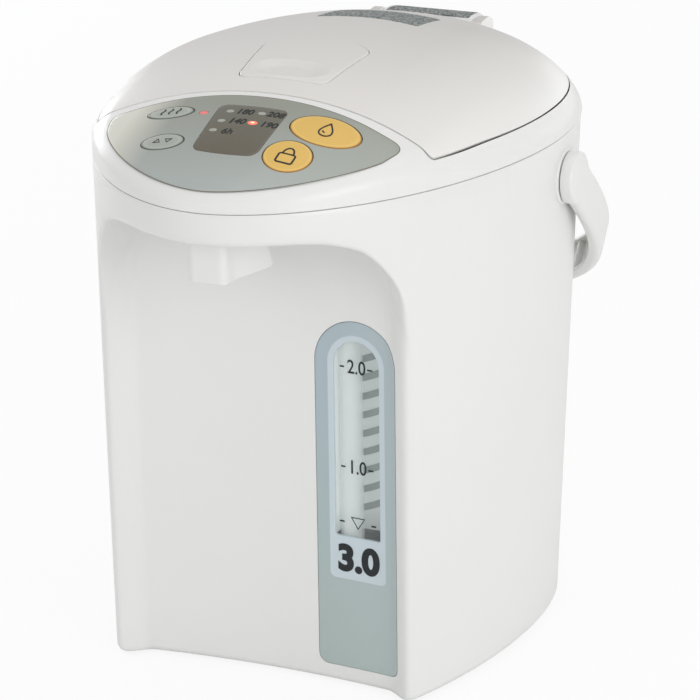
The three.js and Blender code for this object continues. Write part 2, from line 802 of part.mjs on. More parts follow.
function basePrism(inset, low, high) {
  const outline = innerDirections.map((angle) => {
    const radius = bodyRadius(angle, casing.bottomZ) - inset;
    return [radius * Math.cos(angle), radius * Math.sin(angle)];
  });
  return prism(outline, low, high);
}

function baseSpot(degrees, inset) {
  return polar(bodyRadius(radians(degrees), casing.bottomZ) - inset, degrees);
}

function makeBasePlate() {
  const low = casing.bottomZ;
  const high = low + base.thickness;
  let solid = basePrism(casing.edgeRoll + casing.wall + gap, low, high);
  const ringInner = motor.radius + gap;
  const motorRing = turned(ringProfile(ringInner, ringInner + base.motorRing, high - gap,
    high + base.motorRingHeight)).translate([vessel.outletX, vessel.outletY, 0]);
  const posts = [-1, 1].map((side) => rod(powerBoard.standoffRadius, high - gap, powerBoard.z - gap,
    side * (powerBoard.halfWidth - powerBoard.standoffRadius), (powerBoard.frontY + powerBoard.rearY) / 2, small));
  solid = wasm.Manifold.union([solid, motorRing, ...posts]);
  const cuts = [];
  footAngles.forEach((degrees) => {
    const [x, y] = baseSpot(degrees, foot.inset);
    cuts.push(rod(foot.radius + gap, low - overrun, low + foot.seatDepth + gap, x, y));
  });
  screwAngles.forEach((degrees) => {
    const [x, y] = baseSpot(degrees, base.bossInset);
    cuts.push(rod(screw.radius + gap, low - overrun, high + overrun, x, y, small));
    cuts.push(rod(screw.headRadius + gap, low - overrun, low + screw.headHeight + gap, x, y, small));
  });
  range(ventCount).forEach((i) => {
    const x = -base.ventLength - motor.radius + base.ventPitch * (i - (ventCount - 1) / 2);
    cuts.push(block(x - base.ventWidth / 2, x + base.ventWidth / 2, base.ventY - base.ventLength / 2,
      base.ventY + base.ventLength / 2, low - overrun, high + overrun));
  });
  return solid.subtract(wasm.Manifold.union(cuts));
}

function makeFoot(degrees) {
  const [x, y] = baseSpot(degrees, foot.inset);
  const profile = [[0, -foot.drop], [foot.radius - gap, -foot.drop], [foot.radius, -foot.drop / 2],
    [foot.radius, casing.bottomZ + foot.seatDepth], [0, casing.bottomZ + foot.seatDepth]];
  return turned(profile, medium).translate([x, y, 0]);
}

function makeScrew(degrees) {
  const [x, y] = baseSpot(degrees, base.bossInset);
  const low = casing.bottomZ;
  const slot = block(x - screw.headRadius / 2, x + screw.headRadius / 2, y - screw.radius / 4,
    y + screw.radius / 4, low - overrun, low + screw.headHeight / 2);
  return rod(screw.headRadius, low, low + screw.headHeight, x, y, small)
    .add(rod(screw.radius, low, low + screw.length, x, y, small)).subtract(slot);
}

function makeInlet() {
  const rear = rearWallY(inlet.bottomZ);
  const box = (grow, from, to) => prismAlongY(roundRectangle(-inlet.halfWidth - grow, inlet.bottomZ - grow,
    inlet.halfWidth + grow, inlet.bottomZ + inlet.height + grow, inlet.cornerRadius + Math.min(grow, 0)), from, to);
  const outer = box(0, rear - inlet.depth, rear);
  const flange = box(inlet.flange, rear - inlet.depth, rear - inlet.depth + inlet.flangeThickness);
  const hollow = box(-inlet.wall, rear - inlet.depth + inlet.wall, rear + overrun);
  const pins = [-1, 1].map((side) => inletPin(side, inlet.pinRadius + gap));
  return outer.add(flange).subtract(hollow).subtract(wasm.Manifold.union(pins));
}

function inletPin(side, radius) {
  const rear = rearWallY(inlet.bottomZ);
  const z = inlet.bottomZ + inlet.height / 2;
  const length = inlet.pinReach + inlet.wall;
  const profile = rod(radius, -length, 0, 0, 0, small).rotate([90, 0, 0]);
  return profile.translate([(side * inlet.pinSpacing) / 2, rear - inlet.depth - gap, z]);
}

// Upper cover and control panel

function makeUpperCover() {
  const shell = crown.subtract(crownForm(cover.wall, coverBottomZ - overrun, hollowCount));
  const behind = behindLidEdge(0, lid.partingZ - lid.seamGap / 2, skyZ);
  const inside = crownForm(cover.wall / 2, coverBottomZ, hollowCount);
  const deckBottom = cover.deckZ - cover.deckThickness;
  const deck = behindLidEdge(-lid.seamGap - cover.wall, deckBottom, cover.deckZ).intersect(inside);
  const bulkhead = behindLidEdge(-lid.seamGap - cover.wall, deckBottom, skyZ)
    .subtract(behindLidEdge(-lid.seamGap, deckBottom - overrun, skyZ + overrun)).intersect(inside);
  const ledge = behindLidEdge(-lid.seamGap, deckBottom, lid.partingZ - lid.seamGap / 2)
    .intersect(inside).subtract(planPrism(cover.rimWidth, deckBottom - overrun, skyZ));
  const collar = rod(cover.mouthRadius + cover.collarThickness, cover.collarBottomZ, cover.deckZ, 0, 0, large);
  const pan = panelPrism(panel.panMargin)
    .intersect(crownLayer(panel.seatFloorDepth, panel.seatFloorDepth + panel.panThickness))
    .intersect(onPanel(block(-farOut, farOut, -farOut, farOut, -board.depth, farOut), 0, board.y));
  let solid = shell.subtract(behind).subtract(behindLidEdge(-lid.seamGap, lid.partingZ - lid.seamGap, skyZ));
  solid = wasm.Manifold.union([solid, deck, bulkhead, ledge, collar, pan]);
  solid = solid.subtract(rod(cover.mouthRadius, cover.collarBottomZ - overrun, skyZ, 0, 0, large));
  const seat = panelPrism(panel.seatClearance).subtract(crownForm(panel.seatFloorDepth, coverBottomZ - overrun));
  const keyHoles = keyList.map((key) => keyPrism(key, keys.clearance, -keys.reach, overrun));
  const lampHoles = [readyLamp, ...lampPlaces].map((place) => lampPrism(place, gap));
  solid = solid.subtract(wasm.Manifold.union([seat, ...keyHoles, ...lampHoles, latchKeeper()]));
  return solid.subtract(hingeNotch(hinge.hoodHalf + hinge.sideGap + hinge.earWidth + hinge.sideGap));
}

// A cup over the reach of the bolt, left open above so that the lid can rise past it
function latchKeeper() {
  const half = latch.barHalf + latch.slotGap;
  const front = -lid.frontReach - lid.seamGap - latch.keeperDepth;
  return block(-half, half, front, -lid.frontReach, latch.barBottomZ - latch.slotGap, skyZ);
}

const keyPrism = (key, grow, low, high) =>
  onPanel(prism(ellipse(0, 0, key.halfWidth + grow, key.halfDepth + grow, medium), low, high), key.x, key.y);

const lampPrism = (place, grow) => onPanel(
  prism(ellipse(0, 0, lamps.halfWidth + grow, lamps.halfDepth + grow, small), -keys.reach, overrun), place.x, place.y);

const displayOutline = () => {
  const corners = roundRectangle(-displayWindow.halfWidth, -displayWindow.halfDepth, displayWindow.halfWidth,
    displayWindow.halfDepth, displayWindow.cornerRadius);
  return corners.map(([x, y]) => {
    const narrowing = (displayWindow.slant * (displayWindow.halfDepth - y)) / displayWindow.halfDepth / 2;
    return [x - Math.sign(x) * narrowing, y + displayWindow.y];
  });
};
const displayPrism = (shrink) => {
  const factor = 1 - shrink / displayWindow.halfWidth;
  const outline = displayOutline().map(([x, y]) => [x * factor, (y - displayWindow.y) * factor + displayWindow.y]);
  return prism(outline, coverBottomZ, skyZ);
};

function makeControlPanel() {
  const holes = [...keyList.map((key) => keyPrism(key, keys.clearance, -keys.reach, overrun)),
    lampPrism(readyLamp, gap), displayPrism(0)];
  return panelPrism(0).intersect(crownLayer(0, panel.thickness)).subtract(wasm.Manifold.union(holes));
}

const makeDisplay = () => displayPrism(gap).intersect(crownLayer(0, panel.thickness));

// An oval key: its cap follows the panel, and a flange under the seat holds it in
function makeKey(key) {
  const flangeTop = panel.seatFloorDepth + panel.panThickness + keys.flangeGap;
  const tall = (grow) => keyPrism(key, grow, -keys.reach, overrun);
  const cap = tall(0).intersect(crownLayer(-keys.proud, flangeTop + gap));
  return cap.add(tall(keys.flange).intersect(crownLayer(flangeTop, flangeTop + keys.flangeThickness)));
}

// One clear moulding: a web under the seat with a stub up to each lamp window
function makeLightGuide() {
  const webTop = panel.seatFloorDepth + panel.panThickness + gap;
  const webLow = webTop + lamps.webThickness;
  const stub = (place, top) => lampPrism(place, 0).intersect(crownLayer(top, webLow));
  const stubs = lampPlaces.map((place) => stub(place, panel.thickness + lamps.stubGap));
  const ready = stub(readyLamp, 0);
  const xs = [...lampPlaces, readyLamp].map((place) => place.x);
  const ys = [...lampPlaces, readyLamp].map((place) => place.y);
  const middle = [(Math.min(...xs) + Math.max(...xs)) / 2, (Math.min(...ys) + Math.max(...ys)) / 2];
  const halfWidth = (Math.max(...xs) - Math.min(...xs)) / 2 + lamps.halfWidth;
  const halfDepth = (Math.max(...ys) - Math.min(...ys)) / 2 + lamps.halfDepth;
  const web = onPanel(prism(rectangle(-halfWidth, -halfDepth, halfWidth, halfDepth), -keys.reach, overrun), ...middle)
    .intersect(crownLayer(webTop, webLow));
  const keysClear = keyList.map((key) => keyPrism(key, keys.flange + gap, -keys.reach, overrun));
  return wasm.Manifold.union([web, ready, ...stubs]).subtract(wasm.Manifold.union(keysClear));
}

// The flat circuit board under the panel, with a switch that reaches up to just below each key
function makeControlBoard() {
  const { thickness, depth, halfWidth, halfDepth, switchHalf } = board;
  const plate = onPanel(prism(ellipse(0, 0, halfWidth, halfDepth, medium), -depth - thickness, -depth), 0, board.y);
  const over = onPanel(block(-farOut, farOut, -farOut, farOut, -depth - gap, farOut), 0, board.y);
  const switchTop = panel.seatFloorDepth + panel.panThickness + keys.flangeGap + keys.flangeThickness + keys.switchGap;
  const under = crownForm(switchTop, coverBottomZ - overrun);
  const switches = keyList.map((key) => onPanel(
    prism(rectangle(-switchHalf, -switchHalf, switchHalf, switchHalf), -2 * keys.reach, overrun), key.x, key.y)
    .intersect(over).intersect(under));
  return wasm.Manifold.union([plate, ...switches]);
}

// Spout and water path

function makeSpout() {
  const { halfWidth, rearHalfWidth, frontY, flareY, rearY, bottomZ } = spout;
  const top = recess.archZ - 2 * gap;
  const front = roundRectangle(-halfWidth, frontY, halfWidth, flareY + spout.cornerRadius, spout.cornerRadius);
  const wedge = [[-halfWidth, flareY], [halfWidth, flareY], [rearHalfWidth, rearY], [-rearHalfWidth, rearY]];
  const side = [[frontY - overrun, bottomZ], [rearY, bottomZ], [rearY - spout.rearLean, top], [frontY - overrun, top]];
  const body = prism(front, bottomZ, top).add(prism(wedge, bottomZ, top)).intersect(prismAlongX(side, -farOut, farOut));
  return body.subtract(rod(nozzle.radius + nozzle.clearance, bottomZ - overrun, skyZ, 0, spout.boreY, medium));
}

const pipeAngle = THREE.MathUtils.radToDeg(Math.atan2(tube.y - spout.boreY, tube.x));

// The nozzle hangs by its flange in the beak's floor. The water comes in from the side.
function makeNozzle() {
  const low = spout.bottomZ - nozzle.drop;
  const floor = recess.archZ + casing.soffitRise + casing.wall + gap;
  const top = pipeZ + pipe.outerRadius;
  const { bore, radius, flangeRadius, flangeHeight } = nozzle;
  const profile = [[bore, low], [radius - gap, low], [radius, low + nozzle.drop], [radius, floor], [flangeRadius, floor],
    [flangeRadius, floor + flangeHeight], [radius, floor + flangeHeight], [radius, top], [0, top],
    [0, pipeZ + pipe.innerRadius], [bore, pipeZ + pipe.innerRadius], [bore, low]];
  const port = rod(pipe.innerRadius, 0, radius + overrun, 0, 0, small).rotate([0, 90, 0]).rotate([0, 0, pipeAngle])
    .translate([0, 0, pipeZ]);
  return turned(profile, medium).subtract(port).translate([0, spout.boreY, 0]);
}

// From the top of the gauge tube forward over the soffit to the nozzle's side
function makeDeliveryPipe() {
  const bend = pipe.bend;
  const [dx, dy] = polar(1, pipeAngle);
  const start = nozzle.radius + gap;
  const length = Math.hypot(tube.x, tube.y - spout.boreY);
  const along = (distance, z) => [distance * dx, spout.boreY + distance * dy, z];
  const points = [along(length, tubeTopZ + gap), along(length, tubeTopZ + 2 * gap), along(length, pipeZ - bend),
    along(length - bend / 3.4, pipeZ - bend / 3.4), along(length - bend, pipeZ), along(length / 2, pipeZ),
    along(start + gap, pipeZ), along(start, pipeZ)];
  return hollowTube(points, pipe.outerRadius, pipe.innerRadius, medium);
}

function makeInnerVessel() {
  const { radius, wall, floorZ, rimZ, rimReach, cornerRadius } = vessel;
  const corner = (r, steps) => range(steps + 1).map((i) => {
    const [dx, dz] = polar(r, -90 + 90 * share(i, steps));
    return [radius - cornerRadius + dx, floorZ + cornerRadius + dz];
  });
  const profile = [[0, floorZ - wall], ...corner(cornerRadius + wall, 3), [radius + wall, rimZ - wall],
    [radius + rimReach, rimZ - wall], [radius + rimReach, rimZ], [radius, rimZ], ...corner(cornerRadius, 3).reverse(),
    [0, floorZ]];
  const outer = vessel.outletRadius + vessel.wall;
  const low = floorZ - vessel.outletDepth;
  const pot = turned(profile, large).add(rod(outer, low, floorZ - wall / 2, vessel.outletX, vessel.outletY, medium));
  return pot.subtract(rod(vessel.outletRadius, low - overrun, floorZ + overrun, vessel.outletX, vessel.outletY, medium));
}

const makeSleeve = () => turned(ringProfile(sleeve.innerRadius, sleeve.innerRadius + sleeve.thickness,
  sleeve.bottomZ, sleeve.topZ), large);

const makeRimSeal = () => turned(ringProfile(cover.mouthRadius, cover.mouthRadius + cover.collarThickness,
  vessel.rimZ + gap, vessel.rimZ + gap + rimSeal.thickness), large);

// The ring that carries the vessel on four legs over the base
function makeSupport() {
  const top = vessel.floorZ - vessel.wall - gap;
  const { innerRadius, width, thickness, legWidth, legThickness } = support;
  const ring = turned(ringProfile(innerRadius, innerRadius + width, top - thickness, top), large);
  const low = casing.bottomZ + base.thickness + gap;
  const legX = innerRadius + width / 2;
  const legs = supportLegAngles.map((degrees) => block(legX - legThickness / 2, legX + legThickness / 2,
    -legWidth / 2, legWidth / 2, low, top - thickness / 2).rotate([0, 0, degrees]));
  return wasm.Manifold.union([ring, ...legs]);
}

function makeHeater() {
  const top = vessel.floorZ - vessel.wall - gap;
  const { innerRadius, outerRadius, thickness, bandThickness, bandWidth } = heater;
  const middle = (innerRadius + outerRadius) / 2;
  const profile = [[innerRadius, top], [innerRadius, top - bandThickness], [middle - bandWidth / 2, top - bandThickness],
    [middle - bandWidth / 2, top - thickness], [middle + bandWidth / 2, top - thickness],
    [middle + bandWidth / 2, top - bandThickness], [outerRadius, top - bandThickness], [outerRadius, top],
    [innerRadius, top]];
  return turned(profile, large);
}

function makeThermostat() {
  const top = vessel.floorZ - vessel.wall - gap;
  const { radius, height, capRadius, capHeight } = thermostat;
  const profile = [[0, top], [radius, top], [radius, top - height], [capRadius, top - height],
    [capRadius, top - height - capHeight], [0, top - height - capHeight]];
  return turned(profile, medium).translate([thermostat.x, thermostat.y, 0]);
}

const pumpTopZ = pump.floorZ + pump.chamberHeight;
const atPump = (solid) => solid.translate([vessel.outletX, vessel.outletY, 0]);

function makePumpHousing() {
  const { chamberRadius, wall, floorZ, outletRadius, outletWall, outletLength, outletAngle } = pump;
  const cup = turned([[0, floorZ - wall], [chamberRadius + wall, floorZ - wall], [chamberRadius + wall, pumpTopZ],
    [chamberRadius, pumpTopZ], [chamberRadius, floorZ], [0, floorZ]], medium);
  const skirt = turned(ringProfile(motor.radius + gap, chamberRadius + wall,
    casing.bottomZ + base.thickness + motor.height - overrun, floorZ - wall + gap), medium);
  const outletZ = floorZ + outletRadius;
  const pipeAt = (radius, from, to) => rod(radius, from, to, 0, 0, small).rotate([0, 90, 0])
    .rotate([0, 0, outletAngle]).translate([0, 0, outletZ]);
  const end = chamberRadius + outletLength;
  return atPump(wasm.Manifold.union([cup, skirt, pipeAt(outletRadius + outletWall, chamberRadius, end)
    .subtract(rod(chamberRadius, floorZ, pumpTopZ + overrun, 0, 0, medium))])
    .subtract(pipeAt(outletRadius, chamberRadius - overrun, end + overrun)));
}

function makePumpCover() {
  const low = pumpTopZ + gap;
  const { chamberRadius, wall, coverThickness, spigotRadius, spigotWall, spigotHeight } = pump;
  const top = low + coverThickness;
  return atPump(turned([[spigotRadius - spigotWall, low], [chamberRadius + wall, low], [chamberRadius + wall, top],
    [spigotRadius, top], [spigotRadius, top + spigotHeight], [spigotRadius - spigotWall, top + spigotHeight],
    [spigotRadius - spigotWall, low]], medium));
}

function makeImpeller() {
  const low = pump.floorZ + gap;
  const top = low + impeller.plate + impeller.bladeHeight;
  const plate = rod(impeller.radius, low, low + impeller.plate, 0, 0, medium);
  const hub = rod(impeller.hubRadius, low, top, 0, 0, small);
  const half = impeller.bladeThickness / 2;
  const blades = range(bladeCount).map((i) => block(impeller.hubRadius / 2, impeller.radius - impeller.clearance,
    -half, half, low + impeller.plate / 2, top).rotate([0, 0, 360 * share(i, bladeCount)]));
  return atPump(wasm.Manifold.union([plate, hub, ...blades]));
}

const motorLowZ = casing.bottomZ + base.thickness + motor.bottomGap;
const motorTopZ = motorLowZ + motor.height - overrun / 2;

function makeMotorCase() {
  const { radius, bossRadius, bossHeight, shaftRadius, terminalWidth, terminalHeight } = motor;
  const profile = [[0, motorLowZ], [radius, motorLowZ], [radius, motorTopZ], [bossRadius, motorTopZ],
    [bossRadius, motorTopZ + bossHeight], [shaftRadius + gap, motorTopZ + bossHeight],
    [shaftRadius + gap, motorTopZ - bossHeight], [0, motorTopZ - bossHeight]];
  const flats = block(-farOut, farOut, -radius + terminalWidth, radius - terminalWidth, 0, skyZ);
  return atPump(turned(profile, medium).intersect(flats.add(rod(farOut, 0, motorLowZ + terminalHeight))));
}

function makeCouplingMagnet() {
  const low = motorTopZ + motor.bossHeight + gap;
  const { magnetRadius, magnetHeight, shaftRadius, bossHeight } = motor;
  const profile = [[0, motorTopZ - bossHeight + gap], [shaftRadius, motorTopZ - bossHeight + gap], [shaftRadius, low],
    [magnetRadius, low], [magnetRadius, low + magnetHeight], [0, low + magnetHeight]];
  return atPump(turned(profile, medium));
}

// A short hose between the vessel's outlet and the pump's inlet
function makeInletHose() {
  const inner = Math.max(vessel.outletRadius + vessel.wall, pump.spigotRadius) + hose.clearance;
  const low = pumpTopZ + gap + pump.coverThickness + gap;
  const high = vessel.floorZ - vessel.wall - 2 * gap;
  return atPump(turned(ringProfile(inner, inner + hose.wall, low, high), medium));
}

// From the pump's outlet along the front of the base and up to the gauge tube
function makeOutletHose() {
  const outletZ = pump.floorZ + pump.outletRadius;
  const [dx, dy] = polar(pump.chamberRadius + pump.outletLength + gap, pump.outletAngle);
  const start = [vessel.outletX + dx, vessel.outletY + dy, outletZ];
  const [ax, ay] = polar(hose.overlap * 4, pump.outletAngle);
  const points = [start, [start[0] + ax / 2, start[1] + ay / 2, outletZ], [start[0] + ax, start[1] + ay, outletZ],
    [tube.x - hose.overlap, tube.y + 2 * tube.outerRadius, outletZ], [tube.x, tube.y, outletZ + 2 * hose.overlap],
    [tube.x, tube.y, tube.bottomZ - hose.overlap], [tube.x, tube.y, tube.bottomZ - gap]];
  return hollowTube(points, pump.outletRadius + pump.outletWall, pump.outletRadius, small);
}

const makeGaugeTube = () => turned(ringProfile(tube.innerRadius, tube.outerRadius, tube.bottomZ, tubeTopZ), medium)
  .translate([tube.x, tube.y, 0]);

function makePowerBoard() {
  const { halfWidth, frontY, rearY, z, thickness, coilHalf, coilHeight, canRadius, canHeight } = powerBoard;
  const top = z + thickness;
  const middle = (frontY + rearY) / 2;
  const plate = block(-halfWidth, halfWidth, frontY, rearY, z, top);
  const coil = block(-coilHalf, coilHalf, middle - coilHalf, middle + coilHalf, top - gap, top + coilHeight);
  const cans = [-1, 1].map((side) => rod(canRadius, top - gap, top + canHeight, side * (coilHalf + 2 * canRadius), middle, small));
  return wasm.Manifold.union([plate, coil, ...cans]);
}

// Lid

const lidFloorZ = lid.partingZ + lid.seamGap / 2;
const leverAxisZ = domeZ(0, lever.axisY) - lever.axisDepth;

// The lever's outline in plan: a straight front with round corners, widening to a bowed rear
function leverOutline(grow) {
  const { frontY, rearY, cornerY, frontHalf, rearHalf, cornerRadius } = lever;
  const shape = new THREE.Shape();
  const front = frontY - grow;
  const half = frontHalf + grow;
  const wide = rearHalf + grow;
  shape.moveTo(-half + cornerRadius, front);
  shape.lineTo(half - cornerRadius, front);
  shape.quadraticCurveTo(half, front, half + cornerRadius / 5, front + cornerRadius);
  shape.lineTo(wide - cornerRadius / 2, cornerY - cornerRadius);
  shape.quadraticCurveTo(wide, cornerY + grow / 2, wide - cornerRadius, cornerY + grow);
  shape.quadraticCurveTo(0, 2 * rearY - cornerY + grow, -wide + cornerRadius, cornerY + grow);
  shape.quadraticCurveTo(-wide, cornerY + grow / 2, -wide + cornerRadius / 2, cornerY - cornerRadius);
  shape.lineTo(-half - cornerRadius / 5, front + cornerRadius);
  shape.quadraticCurveTo(-half, front, -half + cornerRadius, front);
  return shape.getPoints(5).map((point) => [point.x, point.y]);
}
const leverPrism = (grow) => {
  const points = leverOutline(grow);
  const closed = points.filter(([x, y], i) => {
    const [nextX, nextY] = points[(i + 1) % points.length];
    return Math.hypot(x - nextX, y - nextY) > weld;
  });
  return prism(closed, lid.partingZ - overrun, skyZ);
};

function makeLever() {
  let solid = leverPrism(0).intersect(crownLayer(0, lever.thickness));
  const dishZ = domeZ(0, lever.dishY);
  const dish = asSolid(new THREE.SphereGeometry(1, medium, small))
    .scale([lever.dishHalf, lever.dishLength, 2 * lever.dishDepth]).translate([0, lever.dishY, dishZ + lever.dishDepth]);
  solid = solid.subtract(dish);
  const knuckle = rodAlongX(lever.knuckleRadius, -lever.knuckleHalf, lever.knuckleHalf, lever.axisY, leverAxisZ, small);
  const webZ = domeZ(lever.knuckleHalf, lever.axisY) - lever.thickness / 2;
  const web = block(-lever.knuckleHalf, lever.knuckleHalf, lever.axisY - lever.knuckleRadius / 2,
    lever.axisY + lever.knuckleRadius / 2, leverAxisZ, webZ);
  const tongueTop = domeZ(0, lever.tongueY) - lever.thickness / 2;
  const tongue = block(-lever.tongueHalf, lever.tongueHalf, lever.tongueY - lever.tongueThickness, lever.tongueY,
    tongueTop - lever.tongueDrop, tongueTop);
  const boss = rod(spring.seatRadius, springTopZ, springTopZ + 1.5 * spring.seatHeight, 0, lever.springY, small);
  return wasm.Manifold.union([solid, knuckle, web, tongue, boss])
    .subtract(rodAlongX(lever.pinRadius + gap, -farOut, farOut, lever.axisY, leverAxisZ, small));
}

const leverPinEnd = lever.knuckleHalf + 2 * lever.gap + lever.earWidth;
const makeLeverPin = () => rodAlongX(lever.pinRadius, -leverPinEnd, leverPinEnd, lever.axisY, leverAxisZ, small);

const springLowZ = domeZ(0, lever.springY) - lever.wellDepth + spring.seatHeight;
const springTopZ = domeZ(0, lever.springY) - lever.thickness - spring.seatHeight;

// The well in the lid under the lever, and the two ears that hold its pin
function leverWell() {
  const layer = crownLayer(lid.wall - gap, lever.wellDepth + lever.wellWall);
  return leverPrism(lever.gap + lever.wellWall).intersect(layer);
}

const springSeat = () => rod(spring.seatRadius, springLowZ - spring.seatHeight - lever.wellWall / 2, springLowZ,
  0, lever.springY, medium);

function leverWellHollow() {
  const hollow = leverPrism(lever.gap).intersect(crownLayer(-overrun, lever.wellDepth));
  const ears = [-1, 1].map((side) => {
    const near = side * (lever.knuckleHalf + 2 * lever.gap);
    const far = side * leverPinEnd;
    return block(Math.min(near, far), Math.max(near, far), lever.axisY - lever.earRadius,
      lever.axisY + lever.earRadius, lid.partingZ, leverAxisZ + lever.earRadius);
  });
  const pinBore = rodAlongX(lever.pinRadius + gap, -leverPinEnd - gap, leverPinEnd + gap, lever.axisY, leverAxisZ, small);
  const slot = block(-lever.tongueHalf - gap, lever.tongueHalf + gap, lever.tongueY - 2 * lever.tongueThickness,
    lever.tongueY + 2 * lever.tongueThickness, lid.partingZ, domeZ(0, lever.tongueY) - lever.thickness);
  return wasm.Manifold.union([hollow.subtract(wasm.Manifold.union(ears)), pinBore, slot]);
}

// The lid's cut round the hinge hood
function hingeNotch(half) {
  const round = rodAlongX(hinge.notchRadius, -half, half, hinge.axisY, hinge.axisZ, medium);
  const behind = block(-half, half, hinge.axisY, hinge.hoodRearY + overrun, lid.partingZ - lid.seamGap / 2, skyZ);
  const above = block(-half, half, hinge.axisY, hinge.hoodRearY + overrun, hinge.axisZ, skyZ);
  return round.add(behind).add(above);
}

function hingeEar(side) {
  const near = side * (hinge.hoodHalf + hinge.sideGap);
  const far = near + side * hinge.earWidth;
  const [low, high] = [Math.min(near, far), Math.max(near, far)];
  const top = hinge.axisZ + hinge.earRadius;
  const arm = prismAlongX([[hinge.axisY - 2.4 * hinge.earRadius, lidFloorZ + gap], [hinge.axisY, hinge.axisZ - hinge.earRadius],
    [hinge.axisY, top], [hinge.axisY - 2.4 * hinge.earRadius, top]], low, high);
  return arm.add(rodAlongX(hinge.earRadius, low, high, hinge.axisY, hinge.axisZ, medium));
}

function makeLidShell() {
  const half = lid.seamGap / 2;
  const top = crown.intersect(behindLidEdge(0, lidFloorZ, skyZ));
  const hollow = crownForm(lid.wall, coverBottomZ, hollowCount).intersect(behindLidEdge(lid.wall, lidFloorZ - overrun, skyZ));
  const guide = latchGuide();
  let solid = wasm.Manifold.union([top.subtract(hollow), leverWell(), guide]);
  solid = solid.subtract(hingeNotch(hinge.hoodHalf + hinge.sideGap));
  solid = wasm.Manifold.union([solid, hingeEar(-1), hingeEar(1)]);
  const slotHalf = latch.barHalf + latch.slotGap;
  const slot = block(-slotHalf, slotHalf, -lid.frontReach - overrun, -lid.frontReach + 2 * lid.wall + half,
    latch.barBottomZ - latch.slotGap, latch.barBottomZ + latch.barHeight + latch.slotGap);
  const pinBore = rodAlongX(hinge.pinRadius + gap, -farOut, farOut, hinge.axisY, hinge.axisZ, medium);
  return solid.subtract(wasm.Manifold.union([leverWellHollow(), slot, pinBore])).add(springSeat());
}

// Two rails beside the latch bolt, hung from the front wall
function latchGuide() {
  const near = latch.barHalf + latch.slotGap;
  const rails = [-1, 1].map((side) => {
    const far = near + latch.railThickness;
    return block(Math.min(side * near, side * far), Math.max(side * near, side * far),
      -lid.frontReach + lid.wall / 2, latch.rearY, lidFloorZ, latch.barBottomZ + latch.barHeight + latch.railHeight);
  });
  return wasm.Manifold.union(rails);
}

// Where the corner of the lever's tongue is at rest and when pressed
const tongueTipZ = domeZ(0, lever.tongueY) - lever.thickness / 2 - lever.tongueDrop;
function pressedTongue() {
  const turn = radians(lever.pressAngle);
  const y = lever.tongueY - lever.axisY;
  const z = tongueTipZ - leverAxisZ;
  return [lever.axisY + y * Math.cos(turn) - z * Math.sin(turn), leverAxisZ + y * Math.sin(turn) + z * Math.cos(turn)];
}

// The bolt: a flat bar with a ramp that the tongue pushes back
function makeLatchBolt() {
  const { barHalf, barBottomZ, barHeight, rearY, reach, travel, rampGap } = latch;
  const tipY = -lid.frontReach - reach;
  const barTop = barBottomZ + barHeight;
  const [pressedY, pressedZ] = pressedTongue();
  const upperY = lever.tongueY + rampGap;
  const lowerY = pressedY + rampGap - travel;
  const steep = (tongueTipZ - pressedZ) / (upperY - lowerY);
  const footY = lowerY - (pressedZ - barTop) / steep;
  const bar = prismAlongX([[tipY, barBottomZ + barHeight / 2], [tipY + reach, barBottomZ], [rearY, barBottomZ],
    [rearY, barTop], [tipY, barTop]], -barHalf, barHalf);
  const ramp = prismAlongX([[footY, barTop - gap], [footY, barTop], [upperY, tongueTipZ], [rearY, tongueTipZ],
    [rearY, barTop - gap]], -lever.tongueHalf, lever.tongueHalf);
  return bar.add(ramp);
}

// A coil spring that stands on the well's floor and lifts the lever
function makeLeverSpring() {
  const low = springLowZ + gap + spring.wire;
  const high = springTopZ - gap - spring.wire;
  class Helix extends THREE.Curve {
    getPoint(t) {
      const [x, y] = polar(spring.radius, 360 * springCoils * t);
      return new THREE.Vector3(x, y + lever.springY, lerp(low, high, t));
    }
  }
  const wire = new THREE.Shape(vectors(ellipse(0, 0, spring.wire, spring.wire, springSides)));
  return asSolid(new THREE.ExtrudeGeometry(wire, {
    extrudePath: new Helix(), steps: springCoils * springSteps, bevelEnabled: false,
  }));
}

// The tray that closes the lid from below
function makeLiner() {
  const top = lidFloorZ - gap;
  const { inset, floorZ, floorThickness, rimThickness } = liner;
  const outer = planPrism(inset, floorZ, top).intersect(behindLidEdge(lid.seamGap, floorZ, top));
  const hollow = planPrism(inset + rimThickness, floorZ + floorThickness, top + overrun)
    .intersect(behindLidEdge(lid.seamGap + rimThickness, floorZ + floorThickness, top + overrun));
  const rests = range(2).map((i) => rod(liner.restRadius, floorZ + gap, latch.barBottomZ - gap,
    (i - 0.5) * latch.barHalf, -lid.frontReach + 4 * liner.restRadius, small));
  const ventHole = rod(vent.holeRadius, floorZ - overrun, skyZ, 0, vent.y, medium);
  return wasm.Manifold.union([outer.subtract(hollow), ...rests]).subtract(ventHole);
}

function makeInnerPlate() {
  const { radius, bottomZ, thickness, flangeReach, topZ, dishRadius } = innerPlate;
  const profile = [[0, bottomZ], [radius - dishRadius, bottomZ], [radius, bottomZ + dishRadius], [radius, topZ - thickness],
    [radius + flangeReach, topZ - thickness], [radius + flangeReach, topZ], [radius - thickness, topZ],
    [radius - thickness, bottomZ + dishRadius + thickness / 2], [radius - dishRadius - thickness / 2, bottomZ + thickness],
    [0, bottomZ + thickness]];
  return turned(profile, large).subtract(rod(vent.holeRadius, bottomZ - overrun, topZ, 0, vent.y, medium));
}

